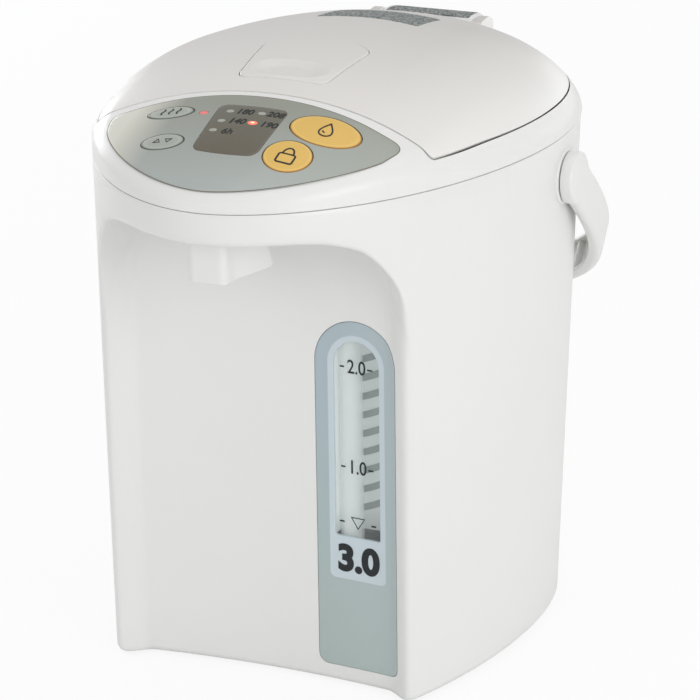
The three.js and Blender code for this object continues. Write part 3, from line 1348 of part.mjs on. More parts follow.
function makeGasket() {
  const { bottomZ, height, lip } = gasket;
  const innerRadius = innerPlate.radius + gasket.grip;
  const outerRadius = innerRadius + gasket.width;
  const top = bottomZ + height;
  const profile = [[innerRadius, top], [innerRadius, top - height / 2], [outerRadius - 2 * lip, bottomZ],
    [outerRadius, bottomZ], [outerRadius, bottomZ + lip], [innerRadius + 2 * lip, top - lip], [innerRadius + 2 * lip, top],
    [innerRadius, top]];
  return turned(profile, large);
}

// The cap of the steam path, in the tray over the hole in the inner plate
function makeVent() {
  const low = liner.floorZ + liner.floorThickness + gap;
  const { radius, height, wall, slotWidth } = vent;
  const cap = turned([[0, low + height - wall], [radius - wall, low + height - wall], [radius - wall, low], [radius, low],
    [radius, low + height], [0, low + height]], medium);
  const slots = range(ventSlotCount).map((i) => block(radius / 2, radius + overrun, -slotWidth / 2, slotWidth / 2,
    low - overrun, low + height - 1.5 * wall).rotate([0, 0, 360 * share(i, ventSlotCount)]));
  return cap.subtract(wasm.Manifold.union(slots)).translate([0, vent.y, 0]);
}

// Hinge

function makeHood() {
  const { hoodHalf, hoodRearY, hoodTopZ, hoodBottomZ, hoodRadius, hoodCorner, axisY, axisZ } = hinge;
  const side = roundRectangle(axisY - hoodRadius, hoodBottomZ, hoodRearY, hoodTopZ, hoodCorner);
  const body = prismAlongX(side, -hoodHalf, hoodHalf);
  const front = rodAlongX(hoodRadius, -hoodHalf, hoodHalf, axisY, axisZ, large)
    .intersect(block(-farOut, farOut, 0, hoodRearY - hoodCorner, hoodBottomZ + hoodCorner, hoodTopZ));
  const keepOff = crownForm(-gap, hoodBottomZ - overrun)
    .subtract(block(-farOut, farOut, 0, farOut, lid.partingZ + gap, skyZ));
  return body.subtract(block(-farOut, farOut, 0, axisY, lid.partingZ, skyZ)).add(front).subtract(keepOff)
    .subtract(rodAlongX(hinge.pinRadius + gap, -farOut, farOut, axisY, axisZ, medium));
}

const hingePinEnd = hinge.hoodHalf + hinge.sideGap + hinge.earWidth;
const makeHingePin = () => rodAlongX(hinge.pinRadius, -hingePinEnd, hingePinEnd, hinge.axisY, hinge.axisZ, medium);

// Handle

// Distance from the pivots to the handle's outer line, by the angle from straight back
function handleRadius(angle, shrink) {
  const along = Math.abs(Math.cos(angle)) / (handleReach - shrink);
  const across = Math.abs(Math.sin(angle)) / (handleHalfWidth - shrink);
  return (along ** handlePower + across ** handlePower) ** (-1 / handlePower);
}

const handleSteps = 26;
const handlePlace = (angle, shrink) => {
  const radius = handleRadius(angle, shrink);
  return [radius * Math.sin(angle), radius * Math.cos(angle)];
};

// The channel's section as (depth from the outer line, height): skin outside, open inside
function handleSection() {
  const { width, thickness, skin, flange, edge } = handle;
  const half = width / 2;
  const outer = [[thickness, -half + edge / 2], [edge, -half], [edge / 4, -half + edge / 2], [0, -half + 1.5 * edge]];
  const inner = [[skin, -half + flange + edge / 2], [thickness, -half + flange + edge / 4]];
  const mirror = (points) => points.map(([depth, height]) => [depth, -height]).reverse();
  return [...outer, ...mirror(outer), ...mirror(inner), ...inner].filter((point, i, all) => {
    const next = all[(i + 1) % all.length];
    return Math.hypot(point[0] - next[0], point[1] - next[1]) > weld;
  });
}

function channelAlongHandle(section) {
  const rings = range(handleSteps + 1).map((i) => {
    const angle = radians(lerp(-90, 90, share(i, handleSteps)));
    return section.map(([depth, height]) => [...handlePlace(angle, depth), height]);
  });
  return sectionSolid(rings, section);
}

// A body swept through rings of one section, its ends closed by that section's own triangles
function sectionSolid(rings, section) {
  const count = section.length;
  const ends = THREE.ShapeUtils.triangulateShape(vectors(section), []);
  const last = (rings.length - 1) * count;
  const faces = [];
  for (let row = 0; row < rings.length - 1; row += 1) {
    for (let i = 0; i < count; i += 1) {
      const a = row * count + i;
      const b = row * count + ((i + 1) % count);
      faces.push(a, b, b + count, a, b + count, a + count);
    }
  }
  const turn = THREE.ShapeUtils.area(vectors(section)) > 0 ? 1 : -1;
  ends.forEach(([a, b, c]) => {
    const [front, back] = turn > 0 ? [[c, b, a], [a, b, c]] : [[a, b, c], [c, b, a]];
    faces.push(...front, ...back.map((corner) => corner + last));
  });
  const geometry = new THREE.BufferGeometry();
  geometry.setAttribute("position", new THREE.Float32BufferAttribute(rings.flat(2), 3));
  geometry.setIndex(faces);
  return asSolid(geometry);
}

// Built level, pointing back, with its pivots on the X axis
function makeHandle() {
  const { thickness, discRadius, skin, flange, width, pinRadius, pinDepth } = handle;
  const halfWidth = handleHalfWidth;
  const channel = channelAlongHandle(handleSection());
  const discs = [-1, 1].map((side) => {
    const near = side * (halfWidth - thickness);
    const far = side * halfWidth;
    return rodAlongX(discRadius, Math.min(near, far), Math.max(near, far), 0, 0, medium);
  });
  const ribs = range(ribCount).map((i) => {
    const angle = radians(lerp(-84, 84, share(i + 0.5, ribCount)));
    const [x, y] = handlePlace(angle, skin);
    const half = width / 2 - flange - gap;
    const rib = block(-handle.ribDepth, gap, -handle.ribThickness / 2, handle.ribThickness / 2, -half, half);
    const [nx, ny] = [Math.sin(angle), Math.cos(angle)];
    return rib.rotate([0, 0, THREE.MathUtils.radToDeg(Math.atan2(ny, nx))]).translate([x, y, 0]);
  });
  const bores = [-1, 1].map((side) => {
    const near = side * (halfWidth - thickness - overrun);
    const far = side * (halfWidth - thickness + pinDepth);
    return rodAlongX(pinRadius + gap, Math.min(near, far), Math.max(near, far), 0, 0, medium);
  });
  return wasm.Manifold.union([channel, ...discs, ...ribs]).subtract(wasm.Manifold.union(bores));
}

// A stub that passes through the casing's wall into the handle, with a head inside
function makePivot(side) {
  const { thickness, pinDepth, pinRadius, pinHeadRadius, pinHeadThickness } = handle;
  const wallX = sideWallX(handle.axisZ - pinHeadRadius) - casing.wall;
  const headOuter = wallX - 2 * gap - pinHeadRadius ** 2 / casing.halfWidth;
  const tip = handleHalfWidth - thickness + pinDepth - gap;
  const stub = (radius, from, to, sides) => rodAlongX(radius, Math.min(side * from, side * to),
    Math.max(side * from, side * to), 0, 0, sides);
  return stub(pinHeadRadius, headOuter - pinHeadThickness, headOuter, medium).add(stub(pinRadius, headOuter, tip, medium));
}

// The pot, piece by piece

const creaseAngle = radians(30);
const smoothing = 0.05; // corners that stand out less than this are left out
const oneBody = (solid) => solid.decompose().reduce((most, part) => (part.volume() > most.volume() ? part : most));

function meshOf(name, rough, finish) {
  const { numProp, vertProperties, triVerts } = oneBody(rough.simplify(smoothing)).getMesh();
  const geometry = new THREE.BufferGeometry();
  const interleaved = new THREE.InterleavedBuffer(vertProperties, numProp);
  const position = new Float32Array(3 * interleaved.count);
  for (let i = 0; i < interleaved.count; i += 1) {
    position.set(vertProperties.subarray(i * numProp, i * numProp + 3), 3 * i);
  }
  geometry.setAttribute("position", new THREE.BufferAttribute(position, 3));
  geometry.setIndex([...triVerts]);
  const mesh = new THREE.Mesh(toCreasedNormals(geometry, creaseAngle), new THREE.MeshStandardMaterial(finish));
  mesh.name = name;
  return mesh;
}

const pot = new THREE.Group();
const handleGroup = new THREE.Group();
handleGroup.position.set(0, handle.axisY, handle.axisZ);
handleGroup.rotation.x = radians(handle.restAngle);
pot.add(handleGroup);

const put = (name, solid, finish, group = pot) => group.add(meshOf(name, solid, finish));

put("body_casing", makeCasing(), finishes.white);
put("upper_cover", makeUpperCover(), finishes.white);
put("base_plate", makeBasePlate(), finishes.white);
footAngles.forEach((degrees, i) => put(`foot_${i + 1}`, makeFoot(degrees), finishes.rubber));
screwAngles.forEach((degrees, i) => put(`base_screw_${i + 1}`, makeScrew(degrees), finishes.steel));

put("inner_vessel", makeInnerVessel(), finishes.steel);
put("vessel_seal", makeRimSeal(), finishes.silicone);
put("insulation_sleeve", makeSleeve(), finishes.silicone);
put("vessel_support", makeSupport(), finishes.steel);
put("heater_ring", makeHeater(), finishes.steel);
put("thermostat", makeThermostat(), finishes.darkPlastic);

put("pump_housing", makePumpHousing(), finishes.darkPlastic);
put("pump_cover", makePumpCover(), finishes.darkPlastic);
put("pump_impeller", makeImpeller(), finishes.darkPlastic);
put("motor_case", makeMotorCase(), finishes.steel);
put("coupling_magnet", makeCouplingMagnet(), finishes.steel);
put("inlet_hose", makeInletHose(), finishes.silicone);
put("outlet_hose", makeOutletHose(), finishes.silicone);
put("gauge_tube", makeGaugeTube(), finishes.clear);
put("delivery_pipe", makeDeliveryPipe(), finishes.silicone);
put("spout_housing", makeSpout(), finishes.white);
put("spout_nozzle", makeNozzle(), finishes.silicone);

put("gauge_panel", makeGaugePanel(), finishes.gaugeBlue);
put("gauge_window", makeGaugeWindow(), finishes.clear);
put("gauge_backing", makeGaugeBacking(), finishes.gaugeBlue);

put("control_panel", makeControlPanel(), finishes.panelGrey);
put("display_window", makeDisplay(), finishes.smoke);
put("light_guide", makeLightGuide(), finishes.clear);
put("control_board", makeControlBoard(), finishes.circuit);
keyList.forEach((key, i) => put(key.name, makeKey(key), i < 2 ? finishes.silver : finishes.amber));

put("power_inlet", makeInlet(), finishes.darkPlastic);
put("inlet_pin_left", inletPin(-1, inlet.pinRadius), finishes.steel);
put("inlet_pin_right", inletPin(1, inlet.pinRadius), finishes.steel);
put("power_board", makePowerBoard(), finishes.circuit);

put("hinge_hood", makeHood(), finishes.white);
put("hinge_pin", makeHingePin(), finishes.steel);
put("lid_shell", makeLidShell(), finishes.lidWhite);
put("lid_liner", makeLiner(), finishes.white);
put("lid_inner_plate", makeInnerPlate(), finishes.steel);
put("lid_gasket", makeGasket(), finishes.silicone);
put("steam_vent_cover", makeVent(), finishes.white);
put("lid_lever", makeLever(), finishes.lidWhite);
put("lever_pin", makeLeverPin(), finishes.steel);
put("lever_spring", makeLeverSpring(), finishes.steel);
put("latch_bolt", makeLatchBolt(), finishes.darkPlastic);

put("carry_handle", makeHandle(), finishes.white, handleGroup);
put("handle_pivot_left", makePivot(-1), finishes.white, handleGroup);
put("handle_pivot_right", makePivot(1), finishes.white, handleGroup);

// The pot stands on its feet with the middle of its length and width on the origin.
const bounds = new THREE.Box3().setFromObject(pot, true);
pot.position.set(0, -(bounds.min.y + bounds.max.y) / 2, -bounds.min.z);

export default pot;
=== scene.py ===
"""Looks of the electric thermo pot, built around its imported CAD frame.

Shapes are worked out in millimetres from the axis of the water vessel, as in the part's source,
and are then put in the shared frame. x runs to the right, y to the back and z up.
"""

import math

import bmesh
import bpy
import numpy as np
from mathutils import Matrix, Vector


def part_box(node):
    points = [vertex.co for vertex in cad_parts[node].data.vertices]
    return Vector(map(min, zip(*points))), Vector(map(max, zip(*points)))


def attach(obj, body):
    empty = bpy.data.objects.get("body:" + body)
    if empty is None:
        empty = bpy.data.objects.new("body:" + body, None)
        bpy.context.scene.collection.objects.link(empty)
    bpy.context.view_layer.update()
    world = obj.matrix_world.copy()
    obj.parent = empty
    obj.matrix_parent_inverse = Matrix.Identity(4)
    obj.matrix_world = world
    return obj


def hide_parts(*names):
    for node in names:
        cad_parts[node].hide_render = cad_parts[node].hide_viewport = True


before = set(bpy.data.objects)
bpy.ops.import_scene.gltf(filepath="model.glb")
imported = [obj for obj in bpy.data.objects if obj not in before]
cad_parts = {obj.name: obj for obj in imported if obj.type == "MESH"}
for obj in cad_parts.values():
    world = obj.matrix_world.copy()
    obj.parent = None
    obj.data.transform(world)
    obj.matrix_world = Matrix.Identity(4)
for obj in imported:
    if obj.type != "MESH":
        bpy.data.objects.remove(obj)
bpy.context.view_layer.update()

# The vessel's axis and the casing's underside in the shared frame
vessel_low, vessel_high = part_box("inner_vessel")
PLACE = np.array([0, (vessel_low.y + vessel_high.y) * 500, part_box("body_casing")[0].z * 1000])

# Plan of the pot
HALF_WIDTH, BASE_HALF_WIDTH = 110, 101
REAR_REACH, BASE_REAR_REACH = 109.1, 100.2
FRONT_REACH, BASE_FRONT_REACH = 166.7, 181
REAR_POWER, FRONT_POWER = 2.34, 1.81
NOSE_ROUND = 0.05
SEAM_Z, EDGE_ROLL, WALL = 248.2, 4, 2.5

# Cup space: its face, the arch, how the step fades into the legs, and the bends of the section
FACE_REACH, FACE_BOW, FACE_HALF, CORNER_BLEND = 96.9, 5.6, 80, 12
ARCH_Z, ARCH_HALF, ARCH_POWER, SPRING_Z = 231.5, 81, 7.5, 175
FADE_FROM, FADE_TO, SOFFIT_RISE, FADE_RISE, FADE_DROP, LIP = 57, 79, 1.5, 4, 20, 3.5
FLARE_FROM, FLARE_TO, FLARE = 62, 80, 9
CORNER_BEND, FADE_BEND, LIP_RISE, FADE_LIP_RISE = 9, 15, 11, 6
CASING_FLOOR_Z = 9

# Crown, with the line where the lid parts from the cover, and the deck round the mouth
CROWN_Z, NOSE_DROP, NOSE_POWER, REAR_DROP, SIDE_DROP = 291.3, 37.5, 2.07, 19.7, 27.5
NOSE_SHOULDER, REAR_SHOULDER, NOSE_SHOULDER_DROP, LEAST_RIM = 9, 25, 6, 1.6
PARTING_Z, LID_REACH, LID_BOW, LID_BOW_HALF, LID_POWER = 261.5, 85.3, 9.5, 84, 2.6
DECK_Z, MOUTH_RADIUS, COLLAR_RADIUS, COLLAR_LOW_Z = 253, 86, 89, 240.3

# Control panel
PANEL_X, PANEL_Y, PANEL_REAR, PANEL_FRONT = 72.8, -101.4, 11.2, 58.8
LENS_REAR_POWER, LENS_FRONT_POWER, LENS_ROUND = 2.16, 1.81, 1.369
PANEL_TIP, PANEL_PROUD, SEAT_DEPTH = 7, 0.15, 2.9

# Seam between lid and cover: half its width on the nose and at the sides, and the round lips beside it
HALF_SEAM, FRONT_GAP, SEAM_BLEND = 0.15, 0.7, 3.0
SEAM_NOSE_Y, SEAM_SIDE_Y = -95, -20
NOSE_SEAM, SIDE_SEAM, NOSE_LIP, SIDE_LIP = 0.42, 0.2, 0.7, 0.35

# Lid, lever and hinge
LID_WALL, LID_INNER_EDGE = 2.4, 2.6
WELL_DEPTH, WELL_HALF, WELL_FRONT_Y, WELL_REAR_Y, WELL_SLOPE = 9.1, 34, -76, -10, 3
LEVER_FRONT_Y, LEVER_REAR_Y, LEVER_CORNER_Y, LEVER_FRONT_HALF, LEVER_REAR_HALF = -72, -17, -27.5, 22, 26.8
LEVER_PROUD, LEVER_AXIS_Y = 0.55, -27
HINGE_Y, HINGE_Z = 113, 268

# Handle
HANDLE_Y, HANDLE_Z, HANDLE_REACH, HANDLE_HALF, HANDLE_POWER = 8, 227.5, 142, 117.2, 2.8
HANDLE_TILT = math.radians(-38.5)

# Gauge, with the pale border round its window, the tube and the plate behind it
GAUGE_X, GAUGE_HALF, GAUGE_LOW_Z, GAUGE_TOP_Z = 47.2, 21, 9, 182
WINDOW_HALF, WINDOW_LOW_Z, WINDOW_TOP_Z = 11.7, 75.7, 172.5
BORDER, BORDER_LOW_Z = 2.9, 57.2
TUBE_X, TUBE_Y, BACK_Y = 41, -90.4, -84.2


def lerp(a, b, share):
    """A share of the way from a to b: a + (b - a) * share."""
    return a + (b - a) * share


def smoothstep(value, low, high):
    """A soft step from 0 at low to 1 at high: 3t^2 - 2t^3, t kept between 0 and 1."""
    t = np.clip((value - low) / (high - low), 0, 1)
    return t * t * (3 - 2 * t)


def soft_lesser(a, b, blend):
    """The lesser of two lengths; where they are closer than blend, a parabola joins them."""
    near = np.maximum(blend - np.abs(a - b), 0) / blend
    return np.minimum(a, b) - near**2 * blend / 4


def egg_radius(angle, z=SEAM_Z):
    """Plan of the pot in polar form: (|cos|/half)^p + (|sin|/reach)^p = r^-p, each end with its own power."""
    upward = z / SEAM_Z
    front = np.sin(angle) < 0
    power = np.where(front, FRONT_POWER, REAR_POWER)
    half = lerp(BASE_HALF_WIDTH, HALF_WIDTH, upward)
    front_reach = lerp(BASE_FRONT_REACH, FRONT_REACH, upward)
    reach = np.where(front, front_reach, lerp(BASE_REAR_REACH, REAR_REACH, upward))
    across = np.hypot(np.cos(angle), np.where(front, NOSE_ROUND * np.sin(angle) ** 2, 0)) / half
    along = np.abs(np.sin(angle)) / reach
    return (across**power + along**power) ** (-1 / power)


def face_y(x):
    """The concave face of the cup space: a parabola in plan, with a soft flare forward at both sides."""
    return -FACE_REACH - FACE_BOW * (x / FACE_HALF) ** 2 - FLARE * smoothstep(np.abs(x), FLARE_FROM, FLARE_TO)


def face_radius(angle):
    """Where a ray from the axis meets the curve of face_y, by bisection."""
    across, forward = np.cos(angle), -np.sin(angle)
    meets = forward > 0.45
    near, beyond = 0 * angle, 0 * angle + 2 * FRONT_REACH
    for _ in range(40):
        middle = (near + beyond) / 2
        inside = -forward * middle > face_y(across * middle)
        near, beyond = np.where(inside, middle, near), np.where(inside, beyond, middle)
    return np.where(meets, near, 2 * FRONT_REACH)


def front_x(angle, radius):
    """How far across a point lies. Behind the axis it counts as far outside the arch."""
    return np.where(np.sin(angle) < 0, radius * np.cos(angle), 2 * HALF_WIDTH)


def arch_height(x):
    """Underside of the beak: it falls from the middle with a high power of the distance across."""
    across = np.minimum(np.abs(x) / ARCH_HALF, 1)
    return SPRING_Z + (ARCH_Z - SPRING_Z) * (1 - across**ARCH_POWER)


def body_radius(angle, z):
    """The casing's wall: the soft lesser of the pot's plan and the face of the cup space."""
    return soft_lesser(egg_radius(angle, z), face_radius(angle), CORNER_BLEND)


def dome_z(x, y):
    """The crown: it falls with the square to the sides and the back, and to the nose with its own power."""
    to_nose = NOSE_DROP * (np.abs(y) / FRONT_REACH) ** NOSE_POWER
    fall = np.where(y < 0, to_nose, REAR_DROP * (y / REAR_REACH) ** 2)
    return CROWN_Z - fall - SIDE_DROP * (x / HALF_WIDTH) ** 2


def lid_edge_y(x):
    """Front edge of the lid: a line that bows forward towards its ends."""
    return -LID_REACH - LID_BOW * np.abs(x / LID_BOW_HALF) ** LID_POWER


# Building blocks: a surface is a grid of points, closed or not in each direction


def columns_round(stretches):
    """Directions round the axis from the nose on both sides, so many in each stretch of degrees."""
    side = np.concatenate([np.linspace(a, b, n, endpoint=False) for a, b, n in stretches])
    return np.radians(np.concatenate([side, [180], -side[1:][::-1]]) - 90)


def polar(angle, radius, z):
    """Points in space at a radius and a height in each direction: (r cos, r sin, z)."""
    return np.stack([radius * np.cos(angle), radius * np.sin(angle), z + 0 * radius], -1)


def in_space(path, angle):
    """A section in (radius, z) for each direction, as points in space."""
    return polar(angle, path[..., 0], path[..., 1])


def rounded(corners, radii, steps=6, closed=False):
    """A path through corners; each bend is a quadratic curve, a radius from its corner at both ends."""
    corners = [np.asarray(c, float) for c in corners]
    count = len(corners)
    rows = [] if closed else [corners[0]]
    for i in range(0 if closed else 1, count if closed else count - 1):
        here = corners[i]
        a, b = corners[i - 1] - here, corners[(i + 1) % count] - here
        long_a = np.maximum(np.linalg.norm(a, axis=-1, keepdims=True), 1e-6)
        long_b = np.maximum(np.linalg.norm(b, axis=-1, keepdims=True), 1e-6)
        radius = np.asarray(radii[i], float)
        radius = radius[..., None] if radius.ndim else radius
        cut = np.minimum(radius, 0.48 * np.minimum(long_a, long_b))
        start, end = here + a / long_a * cut, here + b / long_b * cut
        for t in np.linspace(0, 1, steps):
            rows.append((1 - t) ** 2 * start + 2 * t * (1 - t) * here + t**2 * end)
    return np.stack(rows if closed else [*rows, corners[-1]])


def grid_faces(rows, cols, closed_rows, closed_cols):
    """The corners of a grid's faces; a closed direction joins its last line to its first."""
    r = np.arange(rows if closed_rows else rows - 1)[:, None]
    c = np.arange(cols if closed_cols else cols - 1)[None, :]
    r2, c2 = (r + 1) % rows, (c + 1) % cols
    return np.stack([r * cols + c, r * cols + c2, r2 * cols + c2, r2 * cols + c], -1).reshape(-1, 4)


def mesh_of(name, surfaces):
    """One mesh from grids (points, rows closed, columns closed), its doubles merged, its faces outwards."""
    points, faces, start = [], [], 0
    for grid, closed_rows, closed_cols in surfaces:
        rows, cols = grid.shape[:2]
        points.append(grid.reshape(-1, 3))
        faces.append(grid_faces(rows, cols, closed_rows, closed_cols) + start)
        start += rows * cols
    points = (np.concatenate(points) + PLACE) * 0.001
    faces = np.concatenate(faces)
    mesh = bpy.data.meshes.new(name)
    mesh.vertices.add(len(points))
    mesh.vertices.foreach_set("co", points.astype(np.float32).ravel())
    mesh.loops.add(faces.size)
    mesh.loops.foreach_set("vertex_index", faces.astype(np.int32).ravel())
    mesh.polygons.add(len(faces))
    mesh.polygons.foreach_set("loop_start", np.arange(0, faces.size, 4, dtype=np.int32))
    mesh.update(calc_edges=True)
    work = bmesh.new()
    work.from_mesh(mesh)
    bmesh.ops.remove_doubles(work, verts=work.verts, dist=2e-6)
    bmesh.ops.recalc_face_normals(work, faces=work.faces)
    work.to_mesh(mesh)
    work.free()
    return mesh


def shade(mesh, crease):
    """Smooth shading, but sharp edges where faces meet at more than crease degrees."""
    mesh.polygons.foreach_set("use_smooth", np.ones(len(mesh.polygons), bool))
    mesh.set_sharp_from_angle(angle=math.radians(crease))
    mesh.update()


def linked(name, data):
    made = bpy.data.objects.new(name, data)
    bpy.context.scene.collection.objects.link(made)
    return made


def plain_object(name, surfaces):
    return linked(name, mesh_of(name, surfaces))


def cutter(name, *shape):
    """A closed shape to take out of a piece."""
    return plain_object(name, [prism(*shape)])


def plug(name, radius, low, high, x, y, sides=48):
    """An upright cylinder to cut a round hole with."""
    profile = [(0, low), (radius, low), (radius, high), (0, high)]
    return plain_object(name, [turned(profile, sides, x, y, closed=False)])


def carve(made, cutters):
    """Takes the cutters out of a closed mesh."""
    for cutter in cutters:
        cut = made.modifiers.new("cut", "BOOLEAN")
        cut.operation, cut.solver, cut.object = "DIFFERENCE", "MANIFOLD", cutter
    graph = bpy.context.evaluated_depsgraph_get()
    mesh = bpy.data.meshes.new_from_object(made.evaluated_get(graph))
    made.modifiers.clear()
    made.data = mesh
    for cutter in cutters:
        bpy.data.objects.remove(cutter)


def settle(made, body, finish):
    """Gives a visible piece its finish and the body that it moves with."""
    made.data.materials.clear()
    made.data.materials.append(finish.material)
    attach(made, body)


def piece(name, surfaces, body, finish, replaces=(), crease=35, cutters=()):
    """A visible piece: its mesh less the cutters, with its finish, body and what it replaces."""
    made = plain_object(name, surfaces)
    if cutters:
        carve(made, cutters)
    shade(made.data, crease)
    settle(made, body, finish)
    if replaces:
        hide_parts(*replaces)


def turned(profile, sides=128, x=0.0, y=0.0, closed=True):
    """A profile of (radius, z) points carried round a vertical axis."""
    angle = np.linspace(0, 2 * np.pi, sides, endpoint=False)
    grid = np.stack([polar(angle, np.full(sides, float(r)), z) for r, z in profile])
    return grid + np.array([x, y, 0]), closed, True


def rod_along_x(profile, y, z, sides=96):
    """A profile of (radius, x) points carried round an axis along x."""
    turn = np.linspace(0, 2 * np.pi, sides, endpoint=False)
    rows = [(np.full(sides, float(x)), y + r * np.cos(turn), z + r * np.sin(turn)) for r, x in profile]
    return np.stack([np.stack(row, -1) for row in rows]), False, True


def inward(outline, distance):
    """An outline moved inwards along its own normals."""
    along = np.roll(outline, -1, 0) - np.roll(outline, 1, 0)
    along /= np.maximum(np.linalg.norm(along, axis=1, keepdims=True), 1e-9)
    normal = np.stack([-along[:, 1], along[:, 0]], 1)
    area = np.sum(outline[:, 0] * np.roll(outline[:, 1], -1) - np.roll(outline[:, 0], -1) * outline[:, 1])
    return outline + normal * distance * np.sign(area)


def raised(outline, height):
    """An outline's points with a height beside each."""
    return np.column_stack([outline, np.full(len(outline), float(height))])


def placed(rows, place):
    """Rows of (u, v, height) put in space by a function of all three."""
    grid = np.stack(rows)
    return np.stack(place(grid[..., 0], grid[..., 1], grid[..., 2]), -1)


def lying(u, v, w):
    """Level: v to the back, w up."""
    return u, v, w


def upright(u, v, w):
    """Square to the back: v up, w to the back."""
    return u, w, v


def on_crown(lift=0.0):
    """On the dome: v to the back, w up from the dome's own height."""
    return lambda u, v, w: (u, v, dome_z(u, v) + lift + w)


def on_face(lift=0.0):
    """On the face of the cup space: v up, w forward from the face."""
    return lambda u, v, w: (u, face_y(u) - lift - w, v)


def on_back(lift=0.0):
    """On the plate behind the tube: v up, w forward from it."""
    return lambda u, v, w: (u, BACK_Y - lift - w + 0 * u, v)


def mound(outline, edge, depth, place, rings=10, crown=0.0):
    """A plate over an outline. edge lists (inset, drop) round its rim, depth is its thickness, and crown
    lifts its middle by a parabola.
    """
    centre = outline.mean(0)
    top = inward(outline, edge[0][0])
    rows = [raised(lerp(centre, top, share), crown * (1 - share**2) - edge[0][1])
            for share in np.linspace(0, 1, rings)]
    rows.extend(raised(inward(outline, inset), -drop) for inset, drop in edge[1:])
    rows.extend(raised(lerp(centre, outline, share), -depth) for share in (1, 0.5, 0))
    return placed(rows, place), False, True


def prism(outline, low, high, place):
    """A straight body over an outline, from one height to another."""
    middle = lerp(outline.mean(0), outline, 0)
    stations = ((middle, low), (outline, low), (outline, high), (middle, high))
    return placed([raised(flat, height) for flat, height in stations], place), False, True


def arc(x, y, radius_x, radius_y, start, stop, count=24):
    """Part of an ellipse, from start to stop in degrees: (x + a cos, y + b sin)."""
    turn = np.radians(np.linspace(start, stop, count))
    return np.column_stack([x + radius_x * np.cos(turn), y + radius_y * np.sin(turn)])


def ellipse(x, y, half_x, half_y, count=96):
    """A whole ellipse: (x + a cos, y + b sin) at even turns."""
    turn = np.linspace(0, 2 * np.pi, count, endpoint=False)
    return np.column_stack([x + half_x * np.cos(turn), y + half_y * np.sin(turn)])


def soft_rectangle(x0, y0, x1, y1, radius, steps=10, between=10):
    """A rectangle with round corners and points along its sides."""
    right, left, top, low = x1 - radius, x0 + radius, y1 - radius, y0 + radius
    middles = [(right, top), (left, top), (left, low), (right, low)]
    bends = [arc(x, y, radius, radius, 90 * i, 90 * i + 90, steps) for i, (x, y) in enumerate(middles)]
    shares = np.linspace(0, 1, between + 2)[1:-1, None]
    sides = [lerp(bend[-1], bends[(i + 1) % 4][0], shares) for i, bend in enumerate(bends)]
    return np.concatenate([points for pair in zip(bends, sides) for points in pair])


def smooth(corners, radii, steps=8):
    """A closed outline through plane corners, each rounded by its own radius."""
    return rounded([np.array([corner]) for corner in corners], radii, steps, closed=True)[:, 0]


def evenly(outline, count):
    """A closed outline's points at even distances."""
    steps = np.linalg.norm(np.roll(outline, -1, 0) - outline, axis=1)
    at = np.concatenate([[0], np.cumsum(steps)])
    closed = np.concatenate([outline, outline[:1]])
    even = np.linspace(0, at[-1], count + 1)[:-1]
    return np.column_stack([np.interp(even, at, closed[:, 0]), np.interp(even, at, closed[:, 1])])


def stroke(lines, width, place, thickness=0.12):
    """Drawn lines as flat bars: each centreline is widened along its normal and given a thickness."""
    surfaces = []
    for points, closed in lines:
        points = np.asarray(points, float)
        if closed:
            run = np.roll(points, -1, 0) - np.roll(points, 1, 0)
        else:
            run = np.gradient(points, axis=0)
        run /= np.linalg.norm(run, axis=1, keepdims=True)
        side = np.stack([-run[:, 1], run[:, 0]], 1) * width / 2
        corners = [(side, thickness), (-side, thickness), (-side, -thickness), (side, -thickness)]
        grid = np.stack([raised(points + across, height) for across, height in corners])
        if not closed:
            first, last = [np.repeat(grid[:, [end]].mean(0, keepdims=True), 4, 0) for end in (0, -1)]
            grid = np.concatenate([first, grid, last], 1)
        surfaces.append((placed(grid, place), True, closed))
    return surfaces


def figures(name, words, size, at, place, body, weight=0.0, slant=0.0, squeeze=1.0):
    """Plain figures in dark ink, set on a surface and slightly raised."""
    curve = bpy.data.curves.new(name, "FONT")
    curve.body, curve.size, curve.offset, curve.shear = words, size, weight, slant
    curve.align_x = curve.align_y = "CENTER"
    curve.extrude = 0.08
    holder = linked(name, curve)
    mesh = bpy.data.meshes.new_from_object(holder.evaluated_get(bpy.context.evaluated_depsgraph_get()))
    bpy.data.objects.remove(holder)
    flat = np.zeros(len(mesh.vertices) * 3, np.float32)
    mesh.vertices.foreach_get("co", flat)
    flat = flat.reshape(-1, 3).astype(float)
    points = np.stack(place(flat[:, 0] * squeeze + at[0], flat[:, 1] + at[1], flat[:, 2]), -1)
    mesh.vertices.foreach_set("co", ((points + PLACE) * 0.001).astype(np.float32).ravel())
    mesh.update()
    settle(linked(name, mesh), body, ink)


# Finishes


class Wire:
    """A socket in shader maths: its operators add Math nodes."""

    def __init__(self, finish, socket):
        self.finish, self.socket = finish, socket

    def _maths(self, operation, *values, clamped=False):
        """One Math node, with these values in its inputs."""
        settings = {"operation": operation, "use_clamp": clamped}
        return self.finish.node("ShaderNodeMath", settings, dict(enumerate(values)))

    def __add__(self, other):
        return self._maths("ADD", self, other)

    def __sub__(self, other):
        return self._maths("SUBTRACT", self, other)

    def __rsub__(self, other):
        return self._maths("SUBTRACT", other, self)

    def __mul__(self, other):
        return self._maths("MULTIPLY", self, other)

    def __truediv__(self, other):
        return self._maths("DIVIDE", self, other)

    def __pow__(self, other):
        return self._maths("POWER", self, other)

    def __abs__(self):
        return self._maths("ABSOLUTE", self)

    def above(self, other):
        """The greater of the two."""
        return self._maths("MAXIMUM", self, other)

    def kept(self):
        """Kept between 0 and 1."""
        return self._maths("ADD", self, 0, clamped=True)

    __radd__ = __add__
    __rmul__ = __mul__


